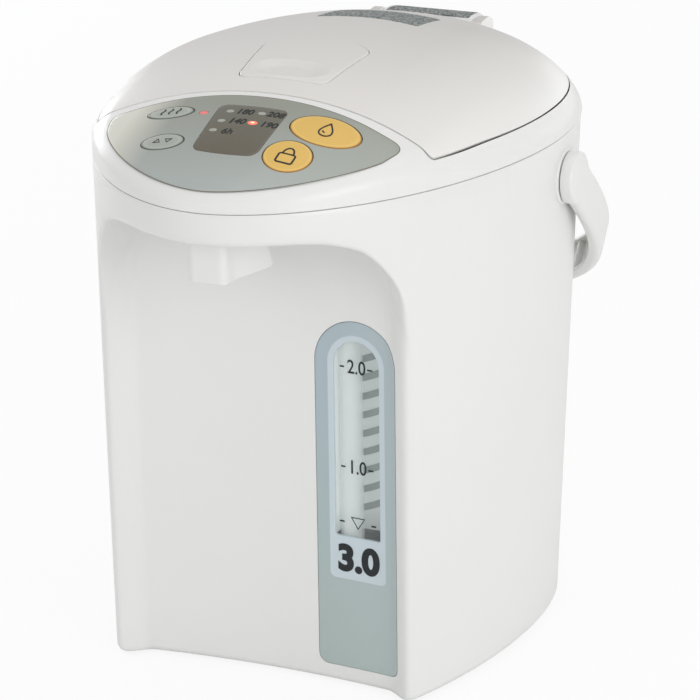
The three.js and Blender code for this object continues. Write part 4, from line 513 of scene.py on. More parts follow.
class Finish:
    """A material: a Principled shader, and the nodes that feed it."""

    def __init__(self, name, color, roughness, **fixed):
        self.material = bpy.data.materials.new(name)
        self.material.use_nodes = True
        self.tree = self.material.node_tree
        self.shader = self.tree.nodes["Principled BSDF"]
        self.color = tuple(color) + (1,)
        self.feed("Base Color", self.color)
        self.feed("Roughness", roughness)
        for key, value in fixed.items():
            self.feed(key.replace("_", " "), value)
        self.material.diffuse_color = self.color

    def feed(self, socket, value):
        self.connect(self.shader.inputs[socket], value)

    def connect(self, socket, value):
        """Joins a wire to a socket, or sets the socket's value."""
        if isinstance(value, Wire):
            self.tree.links.new(value.socket, socket)
        else:
            socket.default_value = value

    def node(self, kind, settings=None, values=None, output=0):
        """Adds a node with its settings and inputs, and gives one of its outputs as a wire."""
        made = self.tree.nodes.new(kind)
        for key, value in (settings or {}).items():
            setattr(made, key, value)
        for key, value in (values or {}).items():
            self.connect(made.inputs[key], value)
        return Wire(self, made.outputs[output])

    def point(self):
        """Place on the pot in millimetres from the vessel's axis."""
        coords = self.node("ShaderNodeTexCoord", output="Object")
        parts = self.node("ShaderNodeSeparateXYZ", values={0: coords})
        others = [Wire(self, parts.socket.node.outputs[i]) for i in range(3)]
        return [part * 1000 - float(shift) for part, shift in zip(others, PLACE)]

    def noise(self, scale, detail=2.0, roughness=0.5, stretch=None):
        """Noise over the object's own space, which stretch multiplies along each axis."""
        coords = self.node("ShaderNodeTexCoord", output="Object")
        if stretch:
            coords = self.node("ShaderNodeVectorMath", {"operation": "MULTIPLY"}, {0: coords, 1: stretch})
        values = {"Vector": coords, "Scale": scale, "Detail": detail, "Roughness": roughness}
        return self.node("ShaderNodeTexNoise", values=values)

    def mixed(self, share, a, b):
        """Colour a turned into colour b by a share."""
        a, b = [v if isinstance(v, Wire) else (*v, 1) for v in (a, b)]
        return self.node("ShaderNodeMix", {"data_type": "RGBA"}, {0: share, 6: a, 7: b}, output=2)

    def bump(self, height, strength, distance):
        """A bump from a height between 0 and 1 times a distance in millimetres."""
        values = {"Height": height, "Strength": strength, "Distance": distance * 0.001}
        self.feed("Normal", self.node("ShaderNodeBump", values=values))

    def uneven(self, scale, detail, spread, least):
        """Roughness that changes a little from place to place."""
        self.feed("Roughness", self.noise(scale, detail) * spread + least)

    def shine(self, strength, color):
        self.feed("Emission Strength", strength)
        self.feed("Emission Color", (*color, 1))


def linear(r, g, b):
    """A colour given as it looks on a screen, in the shader's own scale."""
    return tuple(((c / 255 + 0.055) / 1.055) ** 2.4 if c > 10 else c / 3294.6 for c in (r, g, b))


def moulded(name, color, roughness, grain=0.06, **fixed):
    """Moulded plastic: faint clouds of colour, uneven gloss and a fine grain."""
    finish = Finish(name, color, roughness, **fixed)
    clouds = finish.noise(9, 3)
    darker = tuple(c * 0.965 for c in color)
    finish.feed("Base Color", finish.mixed(clouds, color, darker))
    finish.uneven(60, 4, 0.12, roughness - 0.06)
    finish.bump(finish.noise(1800, 2), grain, 0.05)
    return finish


def lid_painted_light_finish():
    """Lid plastic with painted light: painted shade darker towards the hinge, painted light paler to the
    right, and a painted highlight where the shoulder turns down.
    """
    finish = moulded("lid_plastic", linear(229, 229, 226), 0.34, Coat_Weight=0.15, Coat_Roughness=0.22)
    x, y, _ = finish.point()
    # Painted shade: the lid grows darker towards the hinge.
    back = ((y + 75) / 125).kept()
    base = finish.mixed(back, linear(229, 226, 223), linear(206, 203, 199))
    # Painted light: paler to the right, towards the lamp on that side.
    base = finish.mixed(((x - 45) / 45).kept() * 0.6, base, linear(244, 243, 240))
    # Painted highlight: paler where the shoulder turns down at the back.
    normal = finish.node("ShaderNodeTexCoord", output="Normal")
    upward = finish.node("ShaderNodeSeparateXYZ", values={"Vector": normal}, output="Z")
    shoulder = ((0.89 - upward) / 0.16).kept() * ((y + 45) / 60).kept()
    finish.feed("Base Color", finish.mixed(shoulder, base, linear(244, 244, 242)))
    return finish


white = moulded("white_plastic", linear(236, 236, 234), 0.34, Coat_Weight=0.15, Coat_Roughness=0.2)
lid_white = lid_painted_light_finish()
inner_white = moulded("inner_plastic", linear(226, 225, 219), 0.45)
dark = moulded("dark_plastic", linear(52, 53, 54), 0.42)
seam = Finish("seam_shadow", linear(122, 113, 102), 0.7)
rubber = moulded("rubber_foot", linear(48, 48, 48), 0.75, grain=0.3)
silicone = moulded("silicone_rubber", linear(222, 219, 212), 0.55, grain=0.1, Subsurface_Weight=0.1)
felt = moulded("felt_sleeve", linear(205, 200, 190), 0.9, grain=0.8)
circuit = moulded("circuit_green", linear(40, 90, 58), 0.5)


def brushed(name, color, roughness, round_axis):
    """Brushed steel: fine lines drawn round the vertical axis or along the piece."""
    finish = Finish(name, color, roughness, Metallic=1.0)
    stretch = (60, 60, 2600) if round_axis else (2600, 60, 60)
    lines = finish.noise(1, 5, 0.6, stretch)
    finish.feed("Roughness", lines * 0.22 + (roughness - 0.1))
    finish.feed("Base Color", finish.mixed(lines, color, tuple(c * 0.86 for c in color)))
    finish.bump(lines, 0.15, 0.03)
    return finish


steel = brushed("brushed_steel", linear(200, 202, 204), 0.28, True)
pin_steel = brushed("pin_steel", linear(196, 197, 198), 0.3, False)


def panel_finish():
    """Printed panel: grey green behind, bluer to the nose, cream at the left tip, finely flecked."""
    finish = Finish("panel_print", linear(158, 168, 160), 0.36, Coat_Weight=0.5, Coat_Roughness=0.12)
    x, y, _ = finish.point()
    forward = ((-1 * y - 96) / 58).kept()
    base = finish.mixed(forward, linear(146, 149, 137), linear(172, 179, 176))
    right = ((x - 18) / 55).kept() * 0.6
    base = finish.mixed(right, base, linear(165, 171, 162))
    left = ((-36 - x) / 24).kept()
    base = finish.mixed(left, base, linear(222, 220, 208))
    fleck = finish.noise(2600, 1)
    finish.feed("Base Color", finish.mixed((fleck - 0.5).kept() * 0.35, base, linear(215, 222, 220)))
    finish.feed("Metallic", 0.12)
    finish.feed("Roughness", fleck * 0.12 + 0.3)
    finish.bump(fleck, 0.04, 0.02)
    return finish


def display_finish():
    """Smoked plate: olive, browner towards its lower end."""
    finish = Finish("display_plate", linear(100, 98, 84), 0.26, Coat_Weight=0.3, Coat_Roughness=0.08)
    _, y, _ = finish.point()
    down = ((-1 * y - 100) / 34).kept()
    base = finish.mixed(down, linear(97, 96, 82), linear(93, 84, 68))
    finish.feed("Base Color", finish.mixed(finish.noise(700, 2) * 0.2, base, linear(122, 120, 106)))
    finish.uneven(400, 2, 0.1, 0.18)
    return finish


def key_finish(name, key, face, rim, glow):
    """A key: a printed rim round its oval face, and a paler line just inside the rim."""
    x0, y0, half_x, half_y = key
    finish = Finish(name, face, 0.38, Coat_Weight=0.25, Coat_Roughness=0.2)
    x, y, _ = finish.point()
    reach = ((((x - x0) / half_x) ** 2 + ((y - y0) / half_y) ** 2) ** 0.5 - 1) * min(half_x, half_y)
    rim_share = ((reach + 0.5) / 0.2).kept()
    glow_share = (1 - abs(reach + 1.1) / 0.6).kept() * 0.5
    base = finish.mixed(finish.noise(120, 3) * 0.35, face, tuple(c * 0.9 for c in face))
    base = finish.mixed(glow_share, base, glow)
    finish.feed("Base Color", finish.mixed(rim_share, base, rim))
    finish.uneven(500, 2, 0.12, 0.32)
    finish.bump(finish.noise(2200, 1), 0.05, 0.03)
    return finish


def gauge_finish():
    """Gauge print: blue grey, greener below, with a paler border round the window and the figure under it."""
    finish = Finish("gauge_print", linear(166, 182, 186), 0.4, Coat_Weight=0.2, Coat_Roughness=0.2)
    x, _, z = finish.point()
    up = ((z - 30) / 120).kept()
    base = finish.mixed(up, linear(172, 187, 184), linear(172, 187, 195))
    right = ((x - 30) / 40).kept() * 0.5
    base = finish.mixed(right, base, linear(186, 200, 201))
    top = WINDOW_TOP_Z - WINDOW_HALF
    half = WINDOW_HALF + BORDER
    above = (z - top).above(0)
    reach = ((x - GAUGE_X) ** 2 + above**2) ** 0.5 - half
    below = (BORDER_LOW_Z - z).above(0)
    corner = ((abs(x - GAUGE_X) - half + 3).above(0) ** 2 + below**2) ** 0.5 - 3
    inside = (0.5 - reach / 0.5).kept() * (0.5 - corner / 0.5).kept()
    base = finish.mixed(inside, base, linear(200, 213, 219))
    finish.feed("Base Color", base)
    finish.uneven(300, 2, 0.1, 0.36)
    finish.bump(finish.noise(1800, 2), 0.04, 0.04)
    return finish


def backing_finish():
    """Plate behind the glass: pale grey green, darker at its lower end, with a painted glow that lightens the
    shaded shaft and a painted highlight of the tube, paler to the left.
    """
    finish = Finish("gauge_backing", linear(186, 196, 190), 0.5)
    # Painted light: a faint glow lightens the plate and the shaft's walls where the shaft shades them;
    # nothing here is a lamp.
    finish.shine(0.2, (0.9, 0.94, 0.94))
    x, _, z = finish.point()
    low = (1 - (z - 74) / 12).kept()
    # Painted highlight of the glass tube: paler to the left, behind the tube.
    left = (1 - (x - 36) / 13).kept()
    base = finish.mixed(left, linear(176, 188, 184), linear(214, 219, 216))
    finish.feed("Base Color", finish.mixed(low * 0.75, base, linear(120, 130, 126)))
    finish.uneven(200, 2, 0.1, 0.45)
    return finish


def clear_finish(name, tint, alpha, roughness, glow=0.0):
    """Clear plastic or glass: a thin tint under a glossy coat, with a faint painted glow where asked, which
    lightens glass that stands in shade.
    """
    finish = Finish(name, tint, roughness, Alpha=alpha, Coat_Weight=1.0, Coat_Roughness=0.03, IOR=1.5)
    finish.shine(glow, tint)
    finish.uneven(80, 2, 0.05, roughness)
    return finish


def strip_finish():
    """Dark grip strip: a fine random grain of small marks."""
    finish = Finish("grip_strip", linear(112, 119, 119), 0.6)
    grain = finish.noise(760, 3, 0.7)
    mark = ((grain - 0.47) * 9).kept()
    finish.feed("Base Color", finish.mixed(mark, linear(84, 90, 90), linear(168, 173, 171)))
    finish.feed("Roughness", grain * 0.2 + 0.5)
    finish.bump(grain, 0.4, 0.1)
    return finish


def print_finish(name, color, glow=0.0, glow_color=None):
    """Ink, or with a glow the lens of a lamp: one colour with uneven gloss. The gauge's stripes take a faint
    painted glow instead, against the shade of the shaft.
    """
    finish = Finish(name, color, 0.5)
    if glow:
        finish.shine(glow, glow_color)
    finish.uneven(600, 2, 0.2, 0.4)
    return finish


panel_print = panel_finish()
display_print = display_finish()
gauge_print = gauge_finish()
backing_with_painted_glow = backing_finish()
glass = clear_finish("gauge_glass", linear(235, 242, 243), 0.08, 0.04)
# The tube's glow is painted light that lightens it in the shaded shaft.
tube_glass_painted_glow = clear_finish("tube_glass_painted_glow", linear(232, 238, 238), 0.42, 0.05, 0.14)
strip = strip_finish()
ink = print_finish("dark_ink", linear(14, 22, 26))
# The stripes' faint glow is painted light, to match the painted glow of the plate behind them.
stripe_ink_painted_glow = print_finish("stripe_ink_painted_glow", linear(122, 134, 132), 0.08, linear(190, 200, 200))
lamp_off = print_finish("lamp_off", linear(170, 172, 162))
lamp_lit = print_finish("lamp_lit", linear(250, 120, 92), 0.7, linear(255, 110, 80))
lamp_core = print_finish("lamp_core", linear(255, 200, 180), 0.9, linear(255, 190, 170))
lamp_pink = print_finish("lamp_pink", linear(222, 120, 118), 0.25, linear(230, 110, 110))

# Casing


def casing_path(angle):
    """The casing's section in each direction: rolled foot, wall, soft corner, soffit, lip and upper wall,
    then back down inside.
    """
    face, egg = body_radius(angle, ARCH_Z), egg_radius(angle, ARCH_Z)
    fade = smoothstep(np.abs(front_x(angle, egg_radius(angle))), FADE_FROM, FADE_TO)
    low_z = arch_height(front_x(angle, face)) - FADE_DROP * fade
    lip_z = arch_height(front_x(angle, egg)) + SOFFIT_RISE + FADE_RISE * fade
    upper_z = lip_z + LIP_RISE + FADE_LIP_RISE * fade
    top = SEAM_Z - HALF_SEAM
    bend = CORNER_BEND + FADE_BEND * fade

    def roof(share):
        """A point on the soffit: its height follows the arch, and near the legs it eases into a slope."""
        high = arch_height(front_x(angle, lerp(face, egg, share))) + SOFFIT_RISE * share
        high = lerp(high, lerp(low_z, lip_z, share), smoothstep(fade, 0, 0.7))
        return np.stack([lerp(body_radius(angle, high), egg_radius(angle, high), share), high], -1)

    def on_body(z, inset=0.0):
        """A row on the casing's wall, set in by some depth."""
        z = z + 0 * angle
        return np.stack([body_radius(angle, z) - inset, z], -1)

    def on_egg(z, inset=0.0):
        """A row on the pot's plan, set in by some depth."""
        z = z + 0 * angle
        return np.stack([egg_radius(angle, z) - inset, z], -1)

    rows = [on_body(EDGE_ROLL * (1 - math.cos(turn)), EDGE_ROLL * (1 - math.sin(turn)))
            for turn in np.radians([0, 15, 30, 45, 60, 75])]
    rows.extend(on_body(lerp(EDGE_ROLL, low_z - bend, share)) for share in np.linspace(0, 1, 14)[:-1])
    corners = [on_body(low_z - bend), on_body(low_z), roof(0.35), roof(0.5), roof(0.65), on_egg(lip_z),
               on_egg(upper_z)]
    rows.extend(rounded(corners, [0, bend, 4, 4, 4, LIP + 1.5 + 12 * fade, 0], steps=9))
    rows.extend(on_egg(lerp(upper_z, top - 0.5, share)) for share in (0.35, 0.7, 1))
    rows.extend([on_egg(top, 0.35), on_egg(top, WALL), on_egg(lip_z + LIP_RISE, WALL)])
    rows.append(on_egg(lip_z + WALL, WALL + 1))
    rows.extend(roof(share) + [-WALL, WALL] for share in (0.7, 0.5, 0.3))
    rows.append(on_body(low_z + WALL, WALL))
    rows.extend(on_body(lerp(CASING_FLOOR_Z, low_z, share), WALL) for share in (0.95, 0.75, 0.5, 0.25, 0))
    rows.append(on_body(0.4, EDGE_ROLL + 0.3))
    return np.stack(rows)


def gauge_outline(half, low, top, corner):
    """Outline in (x, z): a half round top, straight sides and small corners below."""
    down = np.linspace(0, 1, 42)[1:-1, None]
    head = arc(GAUGE_X, top - half, half, half, 0, 180, 49)
    left = lerp(head[-1], np.array([GAUGE_X - half, low + corner]), down)
    foot_left = arc(GAUGE_X - half + corner, low + corner, corner, corner, 180, 270, 9)
    foot_right = arc(GAUGE_X + half - corner, low + corner, corner, corner, 270, 360, 9)
    floor = lerp(foot_left[-1], foot_right[0], np.linspace(0, 1, 16)[1:-1, None])
    return np.concatenate([head, left, foot_left, floor, foot_right, lerp(foot_right[-1], head[0], down)])


def window_hole(half, low, top, gap, corner):
    """The same outline with a gap all round, for the hole it sits in."""
    return gauge_outline(half + gap, low - gap, top + gap, corner)


round_casing = columns_round([(0, 24, 40), (24, 46, 96), (46, 180, 110)])
casing_cutters = [
    cutter("pocket", window_hole(GAUGE_HALF, GAUGE_LOW_Z, GAUGE_TOP_Z, 0.25, 5.2), -1.7, 30, on_face()),
    cutter("shaft", window_hole(WINDOW_HALF, WINDOW_LOW_Z, WINDOW_TOP_Z, 1.2, 1.5), -7, 30, on_face()),
    cutter("socket_hole", soft_rectangle(-19.3, 23.7, 19.3, 48.3, 4.3), 60, 130, upright),
]
casing = in_space(casing_path(round_casing), round_casing)
piece("casing_shell", [(casing, True, True)], "pot", white, ["body_casing"], cutters=casing_cutters)

pad_rows = [(0, 105), (13, 105), (13, 109.6), (12.4, 110.2), (11.8, 110.3), (0, 110.3)]
for side, word in ((-1, "left"), (1, "right")):
    pad = rod_along_x([(r, side * x) for r, x in pad_rows], HANDLE_Y, HANDLE_Z)
    piece(f"pivot_pad_{word}", [pad], "pot", white)

# Crown: one section in each direction, parted into lid and cover


def crown_path(angle):
    """The crown's section in each direction: dome, quarter ellipse for the shoulder, and wall to the seam."""
    edge = egg_radius(angle, PARTING_Z)

    def on_dome(at, drop=0.0):
        return np.stack([at, dome_z(at * np.cos(angle), at * np.sin(angle)) - drop], -1)

    widening = smoothstep(np.sin(angle), -0.85, -0.5)
    whole = on_dome(edge)[:, 1] - SEAM_Z - LEAST_RIM
    drop = lerp(np.minimum(NOSE_SHOULDER_DROP, whole), whole, widening)
    reach = lerp(NOSE_SHOULDER, REAR_SHOULDER, widening)
    rows = [on_dome(share * (edge - reach)) for share in np.linspace(0, 1, 130)[:-1]]
    rows.extend(on_dome(edge - reach * (1 - np.cos(turn)), drop * (1 - np.sin(turn)))
                for turn in np.radians(np.linspace(90, 0, 60)))
    low = np.stack([egg_radius(angle), SEAM_Z + HALF_SEAM + 0 * angle], -1)
    rows.extend([lerp(rows[-1], low, share) for share in np.linspace(0, 1, 8)[1:]])
    return np.stack(rows)


def lengths(path):
    """Distance along each section from its first point: the sum of its steps."""
    steps = np.linalg.norm(np.diff(path, axis=0), axis=-1)
    return np.concatenate([np.zeros((1, path.shape[1])), np.cumsum(steps, 0)])


round_crown = columns_round([(0, 36, 60), (36, 56, 90), (56, 180, 120)])
section = crown_path(round_crown)
far = lengths(section)


def crown_points(targets):
    """Points at given distances along each column's section, on straight lines between its points."""
    index = np.clip((far[None] <= targets[:, None]).sum(1) - 1, 0, len(section) - 2)
    a, b = np.take_along_axis(far, index, 0), np.take_along_axis(far, index + 1, 0)
    share = ((targets - a) / np.maximum(b - a, 1e-9))[..., None]
    low = np.take_along_axis(section, index[..., None], 0)
    high = np.take_along_axis(section, index[..., None] + 1, 0)
    return lerp(low, high, share)


def slope_at(distance):
    """Direction along the section and its normal, at one distance in each column."""
    a, b = crown_points(distance[None] - 0.4)[0], crown_points(distance[None] + 0.4)[0]
    run = (b - a) / np.maximum(np.linalg.norm(b - a, axis=-1, keepdims=True), 1e-9)
    return run, np.stack([-run[:, 1], run[:, 0]], -1)


def first_below(field):
    """How far along the section a field first falls below nought."""
    index = np.argmax(field < 0, 0)
    columns = np.arange(field.shape[1])
    a, b = field[index - 1, columns], field[index, columns]
    return lerp(far[index - 1, columns], far[index, columns], a / (a - b))


def plan_of(points):
    """Plan of (radius, z) points, one column for each direction: (r cos, r sin)."""
    return points[..., 0] * np.cos(round_crown), points[..., 0] * np.sin(round_crown)


plan_x, plan_y = plan_of(section)
behind = plan_y - lid_edge_y(plan_x)
above = section[..., 1] - PARTING_Z
seam_half = lerp(NOSE_SEAM, SIDE_SEAM, smoothstep(plan_y, SEAM_NOSE_Y, SEAM_SIDE_Y))
lid_end = first_below(soft_lesser(behind, above - seam_half, SEAM_BLEND))
cover_start = first_below(soft_lesser(behind + FRONT_GAP, above + seam_half, SEAM_BLEND))
edge_y = plan_of(crown_points(lid_end[None])[0])[1]
edge_lip = lerp(NOSE_LIP, SIDE_LIP, smoothstep(edge_y, SEAM_NOSE_Y, SEAM_SIDE_Y))


def lid_section():
    """The lid: the crown out to its edge, a small round lip, and back inside, deeper under the lever."""
    lip = edge_lip[:, None]
    rows = [*crown_points(np.linspace(0, 1, 110)[:, None] * (lid_end - edge_lip))]
    run, normal = slope_at(lid_end - edge_lip)
    start = rows[-1]
    rows.extend(start + run * lip * math.sin(turn) - normal * lip * (1 - math.cos(turn))
                for turn in np.radians([30, 60, 90]))
    rows.append(start + run * lip - normal * LID_WALL)
    for share in np.linspace(1, 0, 40)[:-1]:
        at = share * (lid_end - LID_INNER_EDGE)
        inner = crown_points(at[None])[0]
        _, normal = slope_at(np.maximum(at, 0.5))
        x, y = plan_of(inner)
        reach = [WELL_HALF - np.abs(x), y - WELL_FRONT_Y, WELL_REAR_Y - y]
        well = WELL_DEPTH * np.prod([smoothstep(side, 0, WELL_SLOPE) for side in reach], 0)
        rows.append(inner - normal * LID_WALL - np.stack([0 * x, well], -1))
    rows.append(section[0] - [0, LID_WALL])
    return np.stack(rows)


def lever_outline(grow):
    """The lever in plan: a straight front with round corners, straight sides that widen, and a rear bowed by
    the parabola 4t(1 - t).
    """
    front, rear = LEVER_FRONT_Y - grow, LEVER_REAR_Y + grow
    front_half, rear_half = LEVER_FRONT_HALF + grow, LEVER_REAR_HALF + grow
    corners = [(-front_half, front), (front_half, front), (rear_half, LEVER_CORNER_Y - 1)]
    corners += [(rear_half * (1 - 2 * t), LEVER_CORNER_Y + (rear - LEVER_CORNER_Y) * 4 * t * (1 - t))
                for t in np.linspace(0.15, 0.85, 19)]
    corners.append((-rear_half, LEVER_CORNER_Y - 1))
    return evenly(smooth(corners, [5.5, 5.5, 8, *[0.8] * 19, 8]), 220)


round_recess = rod_along_x([(0, -25.6), (9.3, -25.6), (9.3, 25.6), (0, 25.6)], HINGE_Y, HINGE_Z)
lid_cutters = [
    cutter("lever_well", lever_outline(0.3), -9.4, 6, on_crown()),
    cutter("tongue_slot", soft_rectangle(-5, -71, 5, -62, 1), -14, -5, on_crown()),
    cutter("bolt_slot", soft_rectangle(-7.4, 262.6, 7.4, 267.4, 0.6), -92, -78, upright),
    plain_object("hinge_recess", [round_recess]),
]
dome = in_space(lid_section(), round_crown)
piece("lid_dome", [(dome, False, True)], "lid", lid_white, ["lid_shell"], cutters=lid_cutters)


def lens_edge(across, reach, power):
    """One edge of the panel's lens in plan: reach times (1 - across^power)^(1/LENS_ROUND). Across runs from
    0 in the middle to 1 at the tips.
    """
    return PANEL_Y + reach * (1 - np.abs(across) ** power) ** (1 / LENS_ROUND)


def panel_outline(grow=0.0):
    """The lens of the panel in plan: two arcs, each of its own power, that meet in rounded tips."""
    def edge(reach, power, start):
        across = np.linspace(start, -start, 60)
        return [*np.column_stack([PANEL_X * across, lens_edge(across, reach, power)])]

    corners = [(PANEL_X, PANEL_Y + 2), *edge(PANEL_REAR, LENS_REAR_POWER, 0.7),
               (-PANEL_X, PANEL_Y + 2), *edge(-PANEL_FRONT, LENS_FRONT_POWER, -0.93)]
    radii = [PANEL_TIP, *[0.4] * 60, PANEL_TIP, *[0.4] * 60]
    return inward(evenly(smooth(corners, radii), 256), -grow)


def inside_lens(x, y):
    """How far inside the lens a place lies, roughly in millimetres."""
    across = np.clip(np.abs(x) / PANEL_X, 0, 1)
    rear = lens_edge(across, PANEL_REAR, LENS_REAR_POWER)
    front = lens_edge(across, -PANEL_FRONT, LENS_FRONT_POWER)
    return np.minimum(np.minimum(rear - y, y - front), PANEL_X - 3.5 - np.abs(x))


def cover_section():
    """The cover: collar, deck, inner wall, lip, crown down to the seam with the panel's sunk seat, and back
    under the deck.
    """
    lip = edge_lip[:, None]
    start = crown_points(cover_start[None])[0]
    high = start[:, 1]
    wall = np.minimum(egg_radius(round_crown, PARTING_Z) - 5, start[:, 0])

    def at(r, z):
        return np.stack([r + 0 * high, z + 0 * high], -1)

    rows = [at(COLLAR_RADIUS, COLLAR_LOW_Z), at(MOUTH_RADIUS + 0.4, COLLAR_LOW_Z)]
    rows.extend([at(MOUTH_RADIUS, COLLAR_LOW_Z + 0.4), at(MOUTH_RADIUS, DECK_Z - 0.8)])
    rows.append(at(MOUTH_RADIUS + 0.25, DECK_Z - 0.2))
    rows.extend(at(lerp(MOUTH_RADIUS + 0.9, wall - 1.2, share), DECK_Z) for share in (0, 0.33, 0.66, 1))
    rows.extend([at(wall - 0.35, DECK_Z + 0.35), at(wall, DECK_Z + 1.2)])
    outward = np.clip((start[:, 0] - wall) / 4, 0, 1)
    before = lerp(at(wall, high - 3), at(wall, high), outward[:, None])
    run, _ = slope_at(cover_start + edge_lip)
    step_in = start - before
    step_in /= np.maximum(np.linalg.norm(step_in, axis=-1, keepdims=True), 1e-6)
    first, last = start - step_in * lip, start + run * lip
    rows.append(before)
    rows.extend((1 - t) ** 2 * first + 2 * t * (1 - t) * start + t**2 * last for t in np.linspace(0, 1, 5))
    shares = np.linspace(0, 1, 110)[1:, None]
    outer = crown_points(lerp(cover_start + edge_lip, far[-1] - 0.4, shares))
    seat = SEAT_DEPTH * smoothstep(inside_lens(*plan_of(outer)), 1.6, 3.4)
    rows.extend(outer - np.stack([0 * seat, seat], -1))
    low, under = section[-1], DECK_Z - 2.6
    rim = low[:, 0] - WALL
    rows.extend([low - [0.4, 0], low - [WALL, 0], at(rim, under), at(lerp(COLLAR_RADIUS, rim, 0.5), under),
                 at(COLLAR_RADIUS, under)])
    return np.stack(rows)


cover = in_space(cover_section(), round_crown)
piece("cover_shell", [(cover, True, True)], "pot", white, ["upper_cover"])

# Control panel. Each key has its middle and half axes, and each slot of keys its face, rim and inner line

KEYS = {
    "reboil_button": (-39.5, -105, 11.6, 5), "select_button": (-32.4, -128.8, 10.4, 5.8),
    "dispense_button": (37.8, -107.2, 16.8, 10.6), "lock_button": (29.2, -129.7, 11.2, 10.6),
}
KEY_SLOTS = {name: "amber" if key[3] > 6 else "silver" for name, key in KEYS.items()}
KEY_COLORS = {
    "amber": (linear(230, 187, 88), linear(172, 122, 52), linear(240, 204, 118)),
    "silver": (linear(169, 175, 166), linear(96, 104, 98), linear(192, 198, 190)),
}
READY_LAMP, LIT_LAMP = (-22.5, -106.1), (4.3, -112.0)
DISPLAY_REAR, DISPLAY_LENGTH = -99.1, 34.9


def display_outline():
    """The smoked plate in plan: round corners, sides that close in step with the way forward, and a front
    edge bowed by a parabola.
    """
    outline = soft_rectangle(-16.9, DISPLAY_REAR - DISPLAY_LENGTH, 16.9, DISPLAY_REAR, 4, 8, 12)
    down = (DISPLAY_REAR - outline[:, 1]) / DISPLAY_LENGTH
    x = outline[:, 0] * (1 - 0.07 * down)
    bow = 2.0 * (1 - (x / 17) ** 2) * smoothstep(down, 0.55, 1)
    return np.column_stack([x, outline[:, 1] - bow])


panel_holes = [cutter(f"hole_{name}", ellipse(*key[:2], key[2] + 0.35, key[3] + 0.35), -4, 3, on_crown())
               for name, key in KEYS.items()]
panel_holes.append(cutter("hole_display", inward(display_outline(), -0.12), -4, 3, on_crown()))
panel_holes.append(cutter("hole_lamp", ellipse(*READY_LAMP, 2.3, 1.5, 48), -4, 3, on_crown()))
plate_edge = [(0.45, 0), (0.2, 0.06), (0, 0.3)]
piece("panel_plate", [mound(panel_outline(), plate_edge, 2.0, on_crown(PANEL_PROUD), 40)], "pot",
      panel_print, ["control_panel"], cutters=panel_holes)
piece("panel_seam", stroke([(panel_outline(0.05), True)], 0.36, on_crown(0.03), 0.06), "pot", seam)
display_edge = [(0.4, 0), (0.15, 0.06), (0, 0.25)]
piece("display_plate", [mound(display_outline(), display_edge, 1.8, on_crown(PANEL_PROUD + 0.05), 24)], "pot",
      display_print, ["display_window"])

key_edge = [(0.9, 0), (0.6, 0.05), (0.3, 0.2), (0.08, 0.45), (0, 0.8)]
for name, key in KEYS.items():
    face, rim, line = KEY_COLORS[KEY_SLOTS[name]]
    cap = mound(ellipse(*key, 128), key_edge, 2.0, on_crown(PANEL_PROUD + 0.25), 20, 0.3)
    piece(f"{name}_cap", [cap], name.replace("button", "key"),
          key_finish(f"{name}_face", key, face, rim, line), [name])


def lens(at, half_x, half_y, depth, lift, crown):
    """The lens of an indicator lamp."""
    rim = [(0.4, 0), (0.15, 0.05), (0, 0.2)]
    return mound(ellipse(*at, half_x, half_y, 48), rim, depth, on_crown(PANEL_PROUD + lift), 6, crown)


dark_lamps = [(-10.1, -104.4), (5.3, -104.0), (-10.9, -112.3), (-11.6, -119.7)]
piece("lamps_unlit", [lens(at, 2.0, 1.25, 1.0, 0.16, 0.12) for at in dark_lamps], "pot", lamp_off,
      ["light_guide"])
piece("lamp_glowing", [lens(LIT_LAMP, 2.4, 1.5, 1.0, 0.16, 0.12)], "pot", lamp_lit)
bead_rim, on_lens = [(0.1, 0), (0, 0.1)], on_crown(PANEL_PROUD + 0.3)
bead = mound(ellipse(*LIT_LAMP, 1.0, 0.65, 32), bead_rim, 0.4, on_lens, 4, 0.05)
piece("lamp_middle", [bead], "pot", lamp_core)
piece("lamp_ready", [lens(READY_LAMP, 2.1, 1.35, 1.5, 0.05, 0.15)], "pot", lamp_pink)

on_display = on_crown(PANEL_PROUD + 0.1)
figure_places = {"180": (-2.9, -104.3), "208": (12.0, -103.8), "140": (-3.4, -112.0), "190": (12.1, -112.0)}
for words, at in figure_places.items():
    figures(f"figure_{words}", words, 5.5, at, on_display, "pot", 0.1, 0.15)
figures("figure_hours", "6h", 5.6, (-4.6, -120.2), on_display, "pot", 0.05, 0.15)


def drop_outline(x, y, size):
    """A drop, drawn out to a point above: (sin(t) sin(t/2)^1.4, 1.15 cos(t)) times its size."""
    turn = np.linspace(0, 2 * np.pi, 48, endpoint=False)
    width = np.sin(turn) * np.sin(turn / 2) ** 1.4
    return np.column_stack([x + size * width, y + size * 1.15 * np.cos(turn)])


def wave(x, y, height):
    """An upright wave: (x + 0.55 sin(pi t), y + height t), t from -1 to 1."""
    t = np.linspace(-1, 1, 20)
    return np.column_stack([x + 0.55 * np.sin(t * math.pi), y + height * t])


